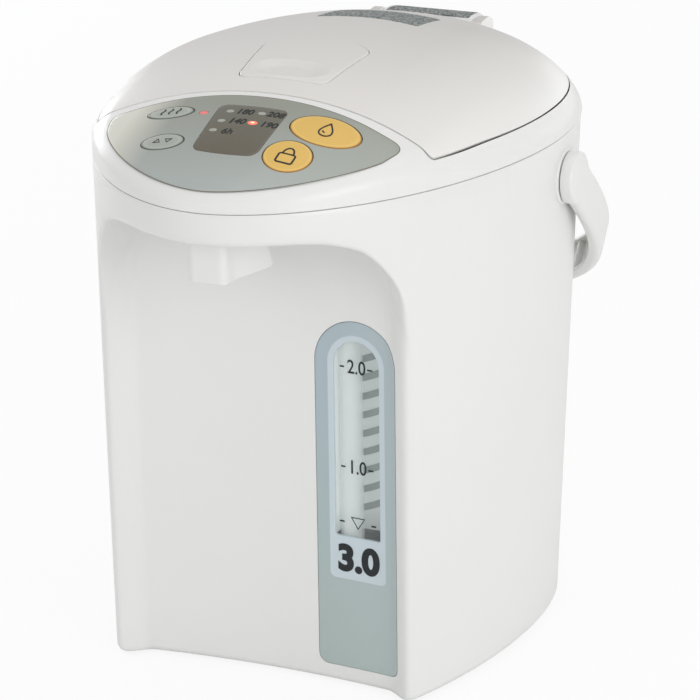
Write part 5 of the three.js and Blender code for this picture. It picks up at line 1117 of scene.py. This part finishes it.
# The keys' signs: lines, whether each is closed, and their width
signs = {
    "dispense_button": (0.75, (drop_outline(38.2, -106.6, 4.2), True),
                        (arc(38.2, -107.3, 1.6, 1.9, 200, 265, 10), False)),
    "lock_button": (0.8, (soft_rectangle(25.3, -135.2, 33.1, -129.3, 1, 5, 3), True),
                    (arc(29.2, -129.2, 2.5, 3.9, 0, 180, 20), False)),
    "reboil_button": (0.75, *[(wave(x, -105, 2.1), False) for x in (-43.4, -39.5, -35.6)]),
    "select_button": (0.7, ([(-36.6, -129.9), (-35, -127.6), (-33.4, -129.9)], True),
                      ([(-31.4, -127.7), (-29.8, -130), (-28.2, -127.7)], True)),
}
for name, (width, *lines) in signs.items():
    bars = stroke(lines, width, on_crown(PANEL_PROUD + 0.55), 0.1)
    piece(f"{name}_sign", bars, name.replace("button", "key"), ink)

# Gauge


def ring_plate(outer, hole, front, thickness, edge, rings, place):
    """A plate with a hole. Both outlines have the same number of points, and straight rows join them."""
    back, bevel = front - thickness, edge * 0.3
    rows = [raised(hole, back), raised(hole, front - edge), raised(inward(hole, -bevel), front - bevel)]
    a, b = inward(hole, -edge), inward(outer, edge)
    rows.extend(raised(lerp(a, b, share), front) for share in np.linspace(0, 1, rings))
    rows.extend([raised(inward(outer, bevel), front - bevel), raised(outer, front - edge)])
    rows.append(raised(outer, back))
    rows.extend(raised(lerp(hole, outer, share), back) for share in (0.66, 0.33))
    return placed(rows, place), True, True


plate_outline = gauge_outline(GAUGE_HALF, GAUGE_LOW_Z, GAUGE_TOP_Z, 5)
window_outline = gauge_outline(WINDOW_HALF, WINDOW_LOW_Z, WINDOW_TOP_Z, 1.4)
plate = ring_plate(plate_outline, window_outline, 0.3, 1.5, 0.3, 16, on_face())
piece("gauge_plate", [plate], "pot", gauge_print, ["gauge_panel"])
pane = mound(inward(window_outline, 0.1), [(0.3, 0), (0, 0.2)], 0.9, on_face(-0.35), 12)
piece("gauge_pane", [pane], "pot", glass, ["gauge_window"])
back = mound(soft_rectangle(34.2, 74.4, 60.2, 174, 1, 6, 8), [(0.3, 0), (0, 0.3)], 1.0, on_back(), 6)
piece("gauge_back", [back], "pot", backing_with_painted_glow, ["gauge_backing"])
share = np.linspace(0, 1, 14)
stripe = np.column_stack([41.6 + 11.4 * share, 167.7 + 4.2 * share**1.35])
stripes = [(stripe - [0, 9.2 * i], False) for i in range(10)]
piece("gauge_stripes", stroke(stripes, 3.2, on_back(0.2), 0.25), "pot", stripe_ink_painted_glow)
tube_rows = [(4.2, 52), (5.5, 52), *[(5.5, z) for z in np.linspace(60, 220, 9)], (5.5, 226), (4.2, 226)]
piece("level_tube", [turned(tube_rows, 72, TUBE_X, TUBE_Y)], "pot", tube_glass_painted_glow, ["gauge_tube"])
side_walls = [mound(soft_rectangle(x, -96.6, x + 0.9, BACK_Y, 0.3, 4, 4), [(0.1, 0), (0, 0.1)], 98,
                    lambda u, v, w: (u, v, w + 173.5), 3) for x in (34.3, 59.2)]
piece("gauge_sides", side_walls, "pot", backing_with_painted_glow)


def dash(start, stop, z):
    """A level line, its ends measured across from the gauge's middle."""
    return [(GAUGE_X + start, z), (GAUGE_X + stop, z)], False


for words, z in (("2.0", 159.7), ("1.0", 110.5)):
    name = "mark_" + words.replace(".", "_")
    figures(name, words, 9.4, (GAUGE_X + 0.1, z), on_face(-0.2), "pot", 0.07, 0.0, 0.84)
    dashes = [dash(-8.4, -6.2, z), dash(5.7, 8.3, z)]
    piece(name + "_dashes", stroke(dashes, 0.75, on_face(-0.2), 0.1), "pot", ink)
triangle = [(GAUGE_X - 3.4, 85.6), (GAUGE_X + 3.4, 85.6), (GAUGE_X, 80.2)]
low_mark = [dash(-9.4, -7, 83), dash(7, 9.4, 83), (triangle, True)]
piece("mark_low", stroke(low_mark, 0.75, on_face(-0.2), 0.1), "pot", ink)
figures("capacity", "3.0", 17.8, (GAUGE_X + 0.2, 64.2), on_face(0.36), "pot", 0.85)

# Spout

SPOUT_LOW_Z, SPOUT_TOP_Z, SPOUT_ROLL, SPOUT_LEAN, BORE_Y = 212, 236, 1.2, 8, -140


def spout_surface():
    """The spout's housing: sides that spread towards the rear, an underside rounded by a quarter circle, and
    a rear that leans forward in step with its height.
    """
    corners = [(-9.4, -155), (9.4, -155), (9.4, -146), (17.6, -120.5), (-17.6, -120.5), (-9.4, -146)]
    outline = evenly(smooth(corners, [4, 4, 6, 1.6, 1.6, 6], 10), 160)
    middle = np.array([0.0, -137.0])
    underside = inward(outline, SPOUT_ROLL + 0.4)
    rows = [raised(lerp(middle, underside, share), SPOUT_LOW_Z) for share in (0, 0.5, 0.85)]
    for turn in np.radians(np.linspace(0, 90, 8)):
        rows.append(raised(inward(outline, SPOUT_ROLL * (1 - math.sin(turn))),
                           SPOUT_LOW_Z + SPOUT_ROLL * (1 - math.cos(turn))))
    for share in (0.25, 0.5, 0.75, 1):
        lean = SPOUT_LEAN * share * smoothstep(outline[:, 1], -146, -120)
        level = np.column_stack([outline[:, 0] * (1 - 0.012 * lean), outline[:, 1] - lean])
        rows.append(raised(level, lerp(SPOUT_LOW_Z + SPOUT_ROLL, SPOUT_TOP_Z, share)))
    rows.append(raised(lerp(middle, outline, 0), SPOUT_TOP_Z))
    return np.stack(rows), False, True


piece("spout_body", [spout_surface()], "pot", white, ["spout_housing"],
      cutters=[plug("bore", 6.2, 190, 229, 0, BORE_Y, 64)])
nozzle_rows = [(3.2, 210), (3.5, 209.6), (5.0, 209.5), (5.5, 210), (5.6, 212), (5.6, 236.9), (8, 237.2),
               (8, 238.4), (5.6, 238.6), (5.6, 247), (3.2, 247)]
piece("nozzle_tip", [turned(nozzle_rows, 64, 0, BORE_Y)], "pot", silicone, ["spout_nozzle"])

# Lever, hinge and strips

DISH_Y, DISH_HALF_X, DISH_HALF_Y, DISH_POWER, DISH_DEPTH = -60.5, 18.5, 8.6, 2.6, 2.0


def lever_surface():
    """The lever's plate: it follows the dome, with a rounded rim. The finger's dish is a soft step down in a
    superellipse (|x/a|^p + |y/b|^p)^(1/p) = 1, with a low swell round it.
    """
    edge = [(1.2, 0), (0.7, 0.1), (0.3, 0.35), (0.06, 0.8), (0, 1.3)]
    grid, _, _ = mound(lever_outline(0), edge, 2.5, lying, 40)
    x, y, w = grid[..., 0], grid[..., 1], grid[..., 2]
    across, along = np.abs(x / DISH_HALF_X), np.abs((y - DISH_Y) / DISH_HALF_Y)
    reach = (across**DISH_POWER + along**DISH_POWER) ** (1 / DISH_POWER)
    dish = DISH_DEPTH * smoothstep(1.06 - reach, 0, 0.55) - 0.3 * np.exp(-((reach - 1.05) / 0.1) ** 2)
    top = (w > -1.0) & (w <= 0.01)
    return np.stack([x, y, dome_z(x, y) + LEVER_PROUD + w - np.where(top, dish, 0)], -1), False, True


piece("lever_plate", [lever_surface()], "lever", lid_white, ["lid_lever"], crease=50)
knuckle_rows = [(0, -15), (2.0, -15), (2.3, -14.6), (2.3, 14.6), (2.0, 15), (0, 15)]
knuckle = rod_along_x(knuckle_rows, LEVER_AXIS_Y, float(dome_z(0, np.array(float(LEVER_AXIS_Y)))) - 6.4)
thin_edge = [(0.2, 0), (0, 0.2)]
web = mound(soft_rectangle(-15, -28.2, 15, -25.8, 0.6, 4, 6), thin_edge, 5.2, on_crown(-1.6), 4)
tongue = mound(soft_rectangle(-4, -68.4, 4, -66.5, 0.4, 4, 4), thin_edge, 11.6, on_crown(-1.6), 4)
piece("lever_works", [knuckle, web, tongue], "lever", lid_white)


def box_across(profile, half, x, edge):
    """A (y, z) outline carried along x, drawn in at both ends by a quarter circle for a rounded edge."""
    bends = [(1 - math.cos(t), 1 - math.sin(t)) for t in np.linspace(0, np.pi / 2, 6)]
    stations = [(x - half, edge)] + [(x - half + edge * a, edge * b) for a, b in bends]
    stations += [(2 * x - at, inset) for at, inset in stations[::-1]]
    outlines = [(at, inward(profile, inset)) for at, inset in stations]
    middle = lerp(profile.mean(0), profile, 0)
    outlines = [(x - half, middle), *outlines, (x + half, middle)]
    rows = [np.column_stack([np.full(len(profile), at), flat]) for at, flat in outlines]
    return np.stack(rows), False, True


# The hood from the side: a round front about the pin, a flat top and a rounded back that stands off the wall
hood_corners = [(104.9, 263.2), (104.4, 268), (106.2, 273.4), (113, 273.5), (122, 272.4), (122, 251),
                (110.2, 251), (110.2, 261.6), (106.4, 261.6)]
hood_profile = smooth(hood_corners, [1.0, 3.5, 3.5, 6, 4, 2.5, 0.6, 0.4, 1.2])
piece("hood_shell", [box_across(hood_profile, 25, 0, 1.4)], "pot", white, ["hinge_hood"], crease=45)
hood_strip = mound(soft_rectangle(-22.6, 106.6, 22.6, 120.4, 1.2, 6, 10), [(0.25, 0), (0, 0.15)], 0.6,
                   lambda u, v, w: (u, v, 273.55 - 1.1 * np.clip((v - HINGE_Y) / 9, 0, 1) + w), 8)
piece("hood_strip", [hood_strip], "pot", strip)
ear_corners = [(98.6, 262.3), (98.6, 268.5), (103.5, 273), (113, 273.5), (118.5, 270.5), (118.3, 264.8),
               (113, 262.4)]
ear_profile = smooth(ear_corners, [1, 4, 5, 5, 4, 4, 4])
ears = [box_across(ear_profile, 2.75, side * 28.55, 0.8) for side in (-1, 1)]
piece("lid_ears", ears, "lid", lid_white, crease=45)
pin_rows = [(0, -31.2), (2.1, -31.2), (2.4, -30.9), (2.4, 30.9), (2.1, 31.2), (0, 31.2)]
piece("hinge_rod", [rod_along_x(pin_rows, HINGE_Y, HINGE_Z, 48)], "pot", pin_steel, ["hinge_pin"])


def crown_at(x, y):
    """Height of the whole crown over places in plan, read on the section in each place's direction."""
    path = crown_path(np.arctan2(y, x).ravel())
    outward = np.maximum.accumulate(path[..., 0], 0)
    heights = [np.interp(r, outward[:, i], path[:, i, 1]) for i, r in enumerate(np.hypot(x, y).ravel())]
    return np.array(heights).reshape(x.shape)


grid, _, _ = mound(soft_rectangle(-25, 27, 28, 58, 1.6, 6, 24), [(0.3, 0), (0, 0.15)], 0.5, lying, 20)
x, y = grid[..., 0], grid[..., 1] - 0.003 * (grid[..., 0] - 1.5) ** 2
lid_strip = np.stack([x, y, crown_at(x, y) + grid[..., 2] + 0.12], -1)
piece("lid_strip", [(lid_strip, False, True)], "lid", strip)

# Handle


def handle_place(angle, shrink):
    """The handle's line seen square on, from pivot to pivot: (|cos|/reach)^p + (|sin|/half)^p = r^-p, with
    reach and half drawn in by some depth.
    """
    side = np.abs(np.cos(angle)) / (HANDLE_REACH - shrink)
    across = np.abs(np.sin(angle)) / (HANDLE_HALF - shrink)
    radius = (side**HANDLE_POWER + across**HANDLE_POWER) ** (-1 / HANDLE_POWER)
    return radius * np.sin(angle), radius * np.cos(angle)


def tilted(points):
    """Turns the handle down about its pivots."""
    y, z = points[..., 1], points[..., 2]
    cosine, sine = math.cos(HANDLE_TILT), math.sin(HANDLE_TILT)
    return np.stack([points[..., 0], HANDLE_Y + y * cosine - z * sine, HANDLE_Z + y * sine + z * cosine], -1)


def handle_band():
    """The handle's channel: its (depth, height) section is carried along the handle's line."""
    corners = [(6.4, -9.8), (2.3, -11), (0, -8.6), (0, 8.6), (2.3, 11), (6.4, 9.8), (6.4, 7.8), (2.3, 8.4),
               (2.3, -8.4), (6.4, -7.8)]
    profile = smooth(corners, [0.7, 1.8, 2.2, 2.2, 1.8, 0.7, 0.7, 1.0, 1.0, 0.7], 6)
    angle = np.radians(np.linspace(-90, 90, 220))
    rows = [np.stack([*handle_place(angle, depth), height + 0 * angle], -1) for depth, height in profile]
    grid = np.stack(rows)
    first, last = [np.repeat(grid[:, [end]].mean(0, keepdims=True), len(grid), 0) for end in (0, -1)]
    return tilted(np.concatenate([first, grid, last], 1)), True, False


def handle_rib(angle):
    """A thin rib across the channel, rounded along its free edge."""
    spot = np.stack(handle_place(np.array(angle), 2.2))
    out = np.array([math.sin(angle), math.cos(angle)])
    side = np.array([out[1], -out[0]])
    outline = soft_rectangle(-3.4, -0.9, 0.6, 0.9, 0.5, 4, 3)
    rows = []
    for z, size in ((-8.4, 0), (-8.4, 1), (8.4, 1), (8.4, 0)):
        flat = lerp(outline.mean(0), outline, size)
        rows.append(raised(spot + flat[:, :1] * out + flat[:, 1:] * side, z))
    return tilted(np.stack(rows)), False, True


def handle_disc(side):
    """The disc at one pivot: a (radius, x) profile carried round the handle's axis."""
    rows = [(0, 110.8), (11.6, 110.8), (12.3, 111.2), (12.5, 112), (12.5, 115.6), (12.1, 116.5),
            (11.2, 117.05), (9.5, 117.2), (0, 117.3)]
    grid, _, _ = rod_along_x([(r, side * x) for r, x in rows], 0, 0)
    return tilted(grid), False, True


RIBS, RIB_ANGLE = 20, 84
ribs = [handle_rib(math.radians(RIB_ANGLE * (2 * (i + 0.5) / RIBS - 1))) for i in range(RIBS)]
piece("handle_bow", [handle_band(), *ribs, handle_disc(-1), handle_disc(1)], "handle", white,
      ["carry_handle"], crease=40)

# Round pieces inside, seen when the lid stands open


def filleted(corners, radii):
    """A profile in (radius, z) through corners, each rounded by its own radius."""
    return [tuple(p) for p in rounded([np.array([c], float) for c in corners], radii, steps=6)[:, 0]]


vessel_rows = filleted([(0, 61.3), (80.4, 61.3), (80.4, 237.6), (89.5, 237.6), (89.5, 236.8), (81.2, 236.8),
                        (81.2, 60.5), (0, 60.5)], [0, 10, 1, 0.2, 0.2, 1, 10, 0])
piece("vessel_lining", [turned(vessel_rows, 160, closed=False)], "pot", steel, ["inner_vessel"],
      cutters=[plug("outlet", 5, 50, 66, 17, -14)])
seal_rows = [(86, 238), (88.9, 238), (88.9, 240), (86.3, 240), (86, 239.7)]
piece("mouth_seal", [turned(seal_rows)], "pot", silicone, ["vessel_seal"])
plate_rows = filleted([(0, 241), (78.2, 241), (78.2, 255.5), (82.7, 255.5), (82.7, 256.5), (77.2, 256.5),
                       (77.2, 242), (0, 242)], [0, 6, 0.5, 0.3, 0.3, 0.5, 5, 0])
piece("lid_plate", [turned(plate_rows, 160, closed=False)], "lid", steel, ["lid_inner_plate"],
      cutters=[plug("vent_hole", 4, 230, 250, 0, 48)])
gasket_rows = [(78.6, 243.9), (78.6, 240.9), (80.6, 237.9), (83.2, 237.9), (83.4, 238.1), (83.4, 239.1),
               (81.4, 242.5), (81.4, 243.7), (81.2, 243.9)]
piece("lid_seal", [turned(gasket_rows, 160)], "lid", silicone, ["lid_gasket"])

# Finishes of the nodes that keep their own shape

kept = {
    white: "base_plate handle_pivot_left handle_pivot_right",
    inner_white: "lid_liner steam_vent_cover",
    pin_steel: "base_screw_1 base_screw_2 base_screw_3 base_screw_4 inlet_pin_left inlet_pin_right lever_pin"
               " lever_spring heater_ring vessel_support motor_case coupling_magnet",
    rubber: "foot_1 foot_2 foot_3 foot_4",
    silicone: "inlet_hose outlet_hose delivery_pipe",
    felt: "insulation_sleeve",
    dark: "thermostat pump_housing pump_cover pump_impeller power_inlet latch_bolt",
    circuit: "control_board power_board",
}
for finish, names in kept.items():
    for name in names.split():
        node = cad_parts[name]
        node.data.materials.clear()
        node.data.materials.append(finish.material)

# Floor, light and camera

FLOOR_HALF = 6
floor_corners = [(x * FLOOR_HALF, y * FLOOR_HALF, 0.0) for x, y in ((-1, -1), (1, -1), (1, 1), (-1, 1))]
floor_mesh = bpy.data.meshes.new("floor")
floor_mesh.from_pydata(floor_corners, [], [(0, 1, 2, 3)])
floor = linked("floor", floor_mesh)
floor_look = Finish("pale_floor", (0.93, 0.93, 0.93), 0.6)
shown = floor_look.node("ShaderNodeLightPath")
glow = floor_look.node("ShaderNodeEmission", values={"Color": (1, 1, 1, 1), "Strength": 1.0})
blend = floor_look.node("ShaderNodeMixShader")
inputs = blend.socket.node.inputs
floor_look.tree.links.new(floor_look.shader.outputs[0], inputs[1])
floor_look.connect(inputs[2], glow)
floor_look.connect(inputs[0], shown * 0.88)
floor_look.connect(floor_look.tree.nodes["Material Output"].inputs["Surface"], blend)
floor_mesh.materials.append(floor_look.material)

world = bpy.data.worlds.new("studio")
bpy.context.scene.world = world
world.use_nodes = True
nodes, links = world.node_tree.nodes, world.node_tree.links
background = nodes["Background"]
seen_by = nodes.new("ShaderNodeLightPath")
strength = nodes.new("ShaderNodeMix")
strength.inputs[2].default_value, strength.inputs[3].default_value = 0.66, 1.0
links.new(seen_by.outputs["Is Camera Ray"], strength.inputs[0])
links.new(strength.outputs[0], background.inputs["Strength"])
background.inputs["Color"].default_value = (1, 1, 1, 1)

MIDDLE = Vector((0, 0, 0.14))


def lamp(name, at, size, power, color=(1, 1, 1)):
    """A lamp that faces the middle of the pot."""
    light = bpy.data.lights.new(name, "AREA")
    light.shape, light.size, light.size_y = "RECTANGLE", size[0], size[1]
    light.energy, light.color = power, color
    holder = linked(name, light)
    holder.location = at
    holder.rotation_euler = (MIDDLE - Vector(at)).to_track_quat("-Z", "Y").to_euler()


lamp("front_left", (-1.0, -1.5, 0.9), (1.1, 1.3), 3.0)
lamp("front_right", (1.6, -0.9, 0.7), (0.9, 1.2), 9.5)
lamp("overhead", (0.1, 0.2, 1.7), (1.4, 1.2), 3.0)
lamp("left_rim", (-1.5, 1.1, 0.42), (0.8, 0.6), 5, (0.95, 0.98, 1.0))
lamp("rear_rim", (0.5, 1.8, 0.5), (1.6, 0.5), 1.5)

# The camera's focal length in pixels of a picture 700 wide, its axes, and its place from the vessel's axis
FOCAL, PICTURE, SENSOR = 3294.7, 700, 36
right, up = Vector((0.91899, 0.39408, -0.0127)), Vector((-0.12279, 0.31666, 0.94056))
ahead = Vector((-0.37468, 0.8628, -0.33939))
camera_place = Vector((606.02, -1392.15 + PLACE[1], 677.07 + PLACE[2])) * 0.001
camera_data = bpy.data.cameras.new("camera")
camera_data.lens, camera_data.sensor_width = FOCAL / PICTURE * SENSOR, SENSOR
camera_data.clip_start, camera_data.clip_end = 0.1, 30
camera = linked("camera", camera_data)
camera.matrix_world = Matrix.Translation(camera_place) @ Matrix((right, up, -ahead)).transposed().to_4x4()
bpy.context.scene.camera = camera
bpy.context.scene.view_settings.view_transform = "Standard"
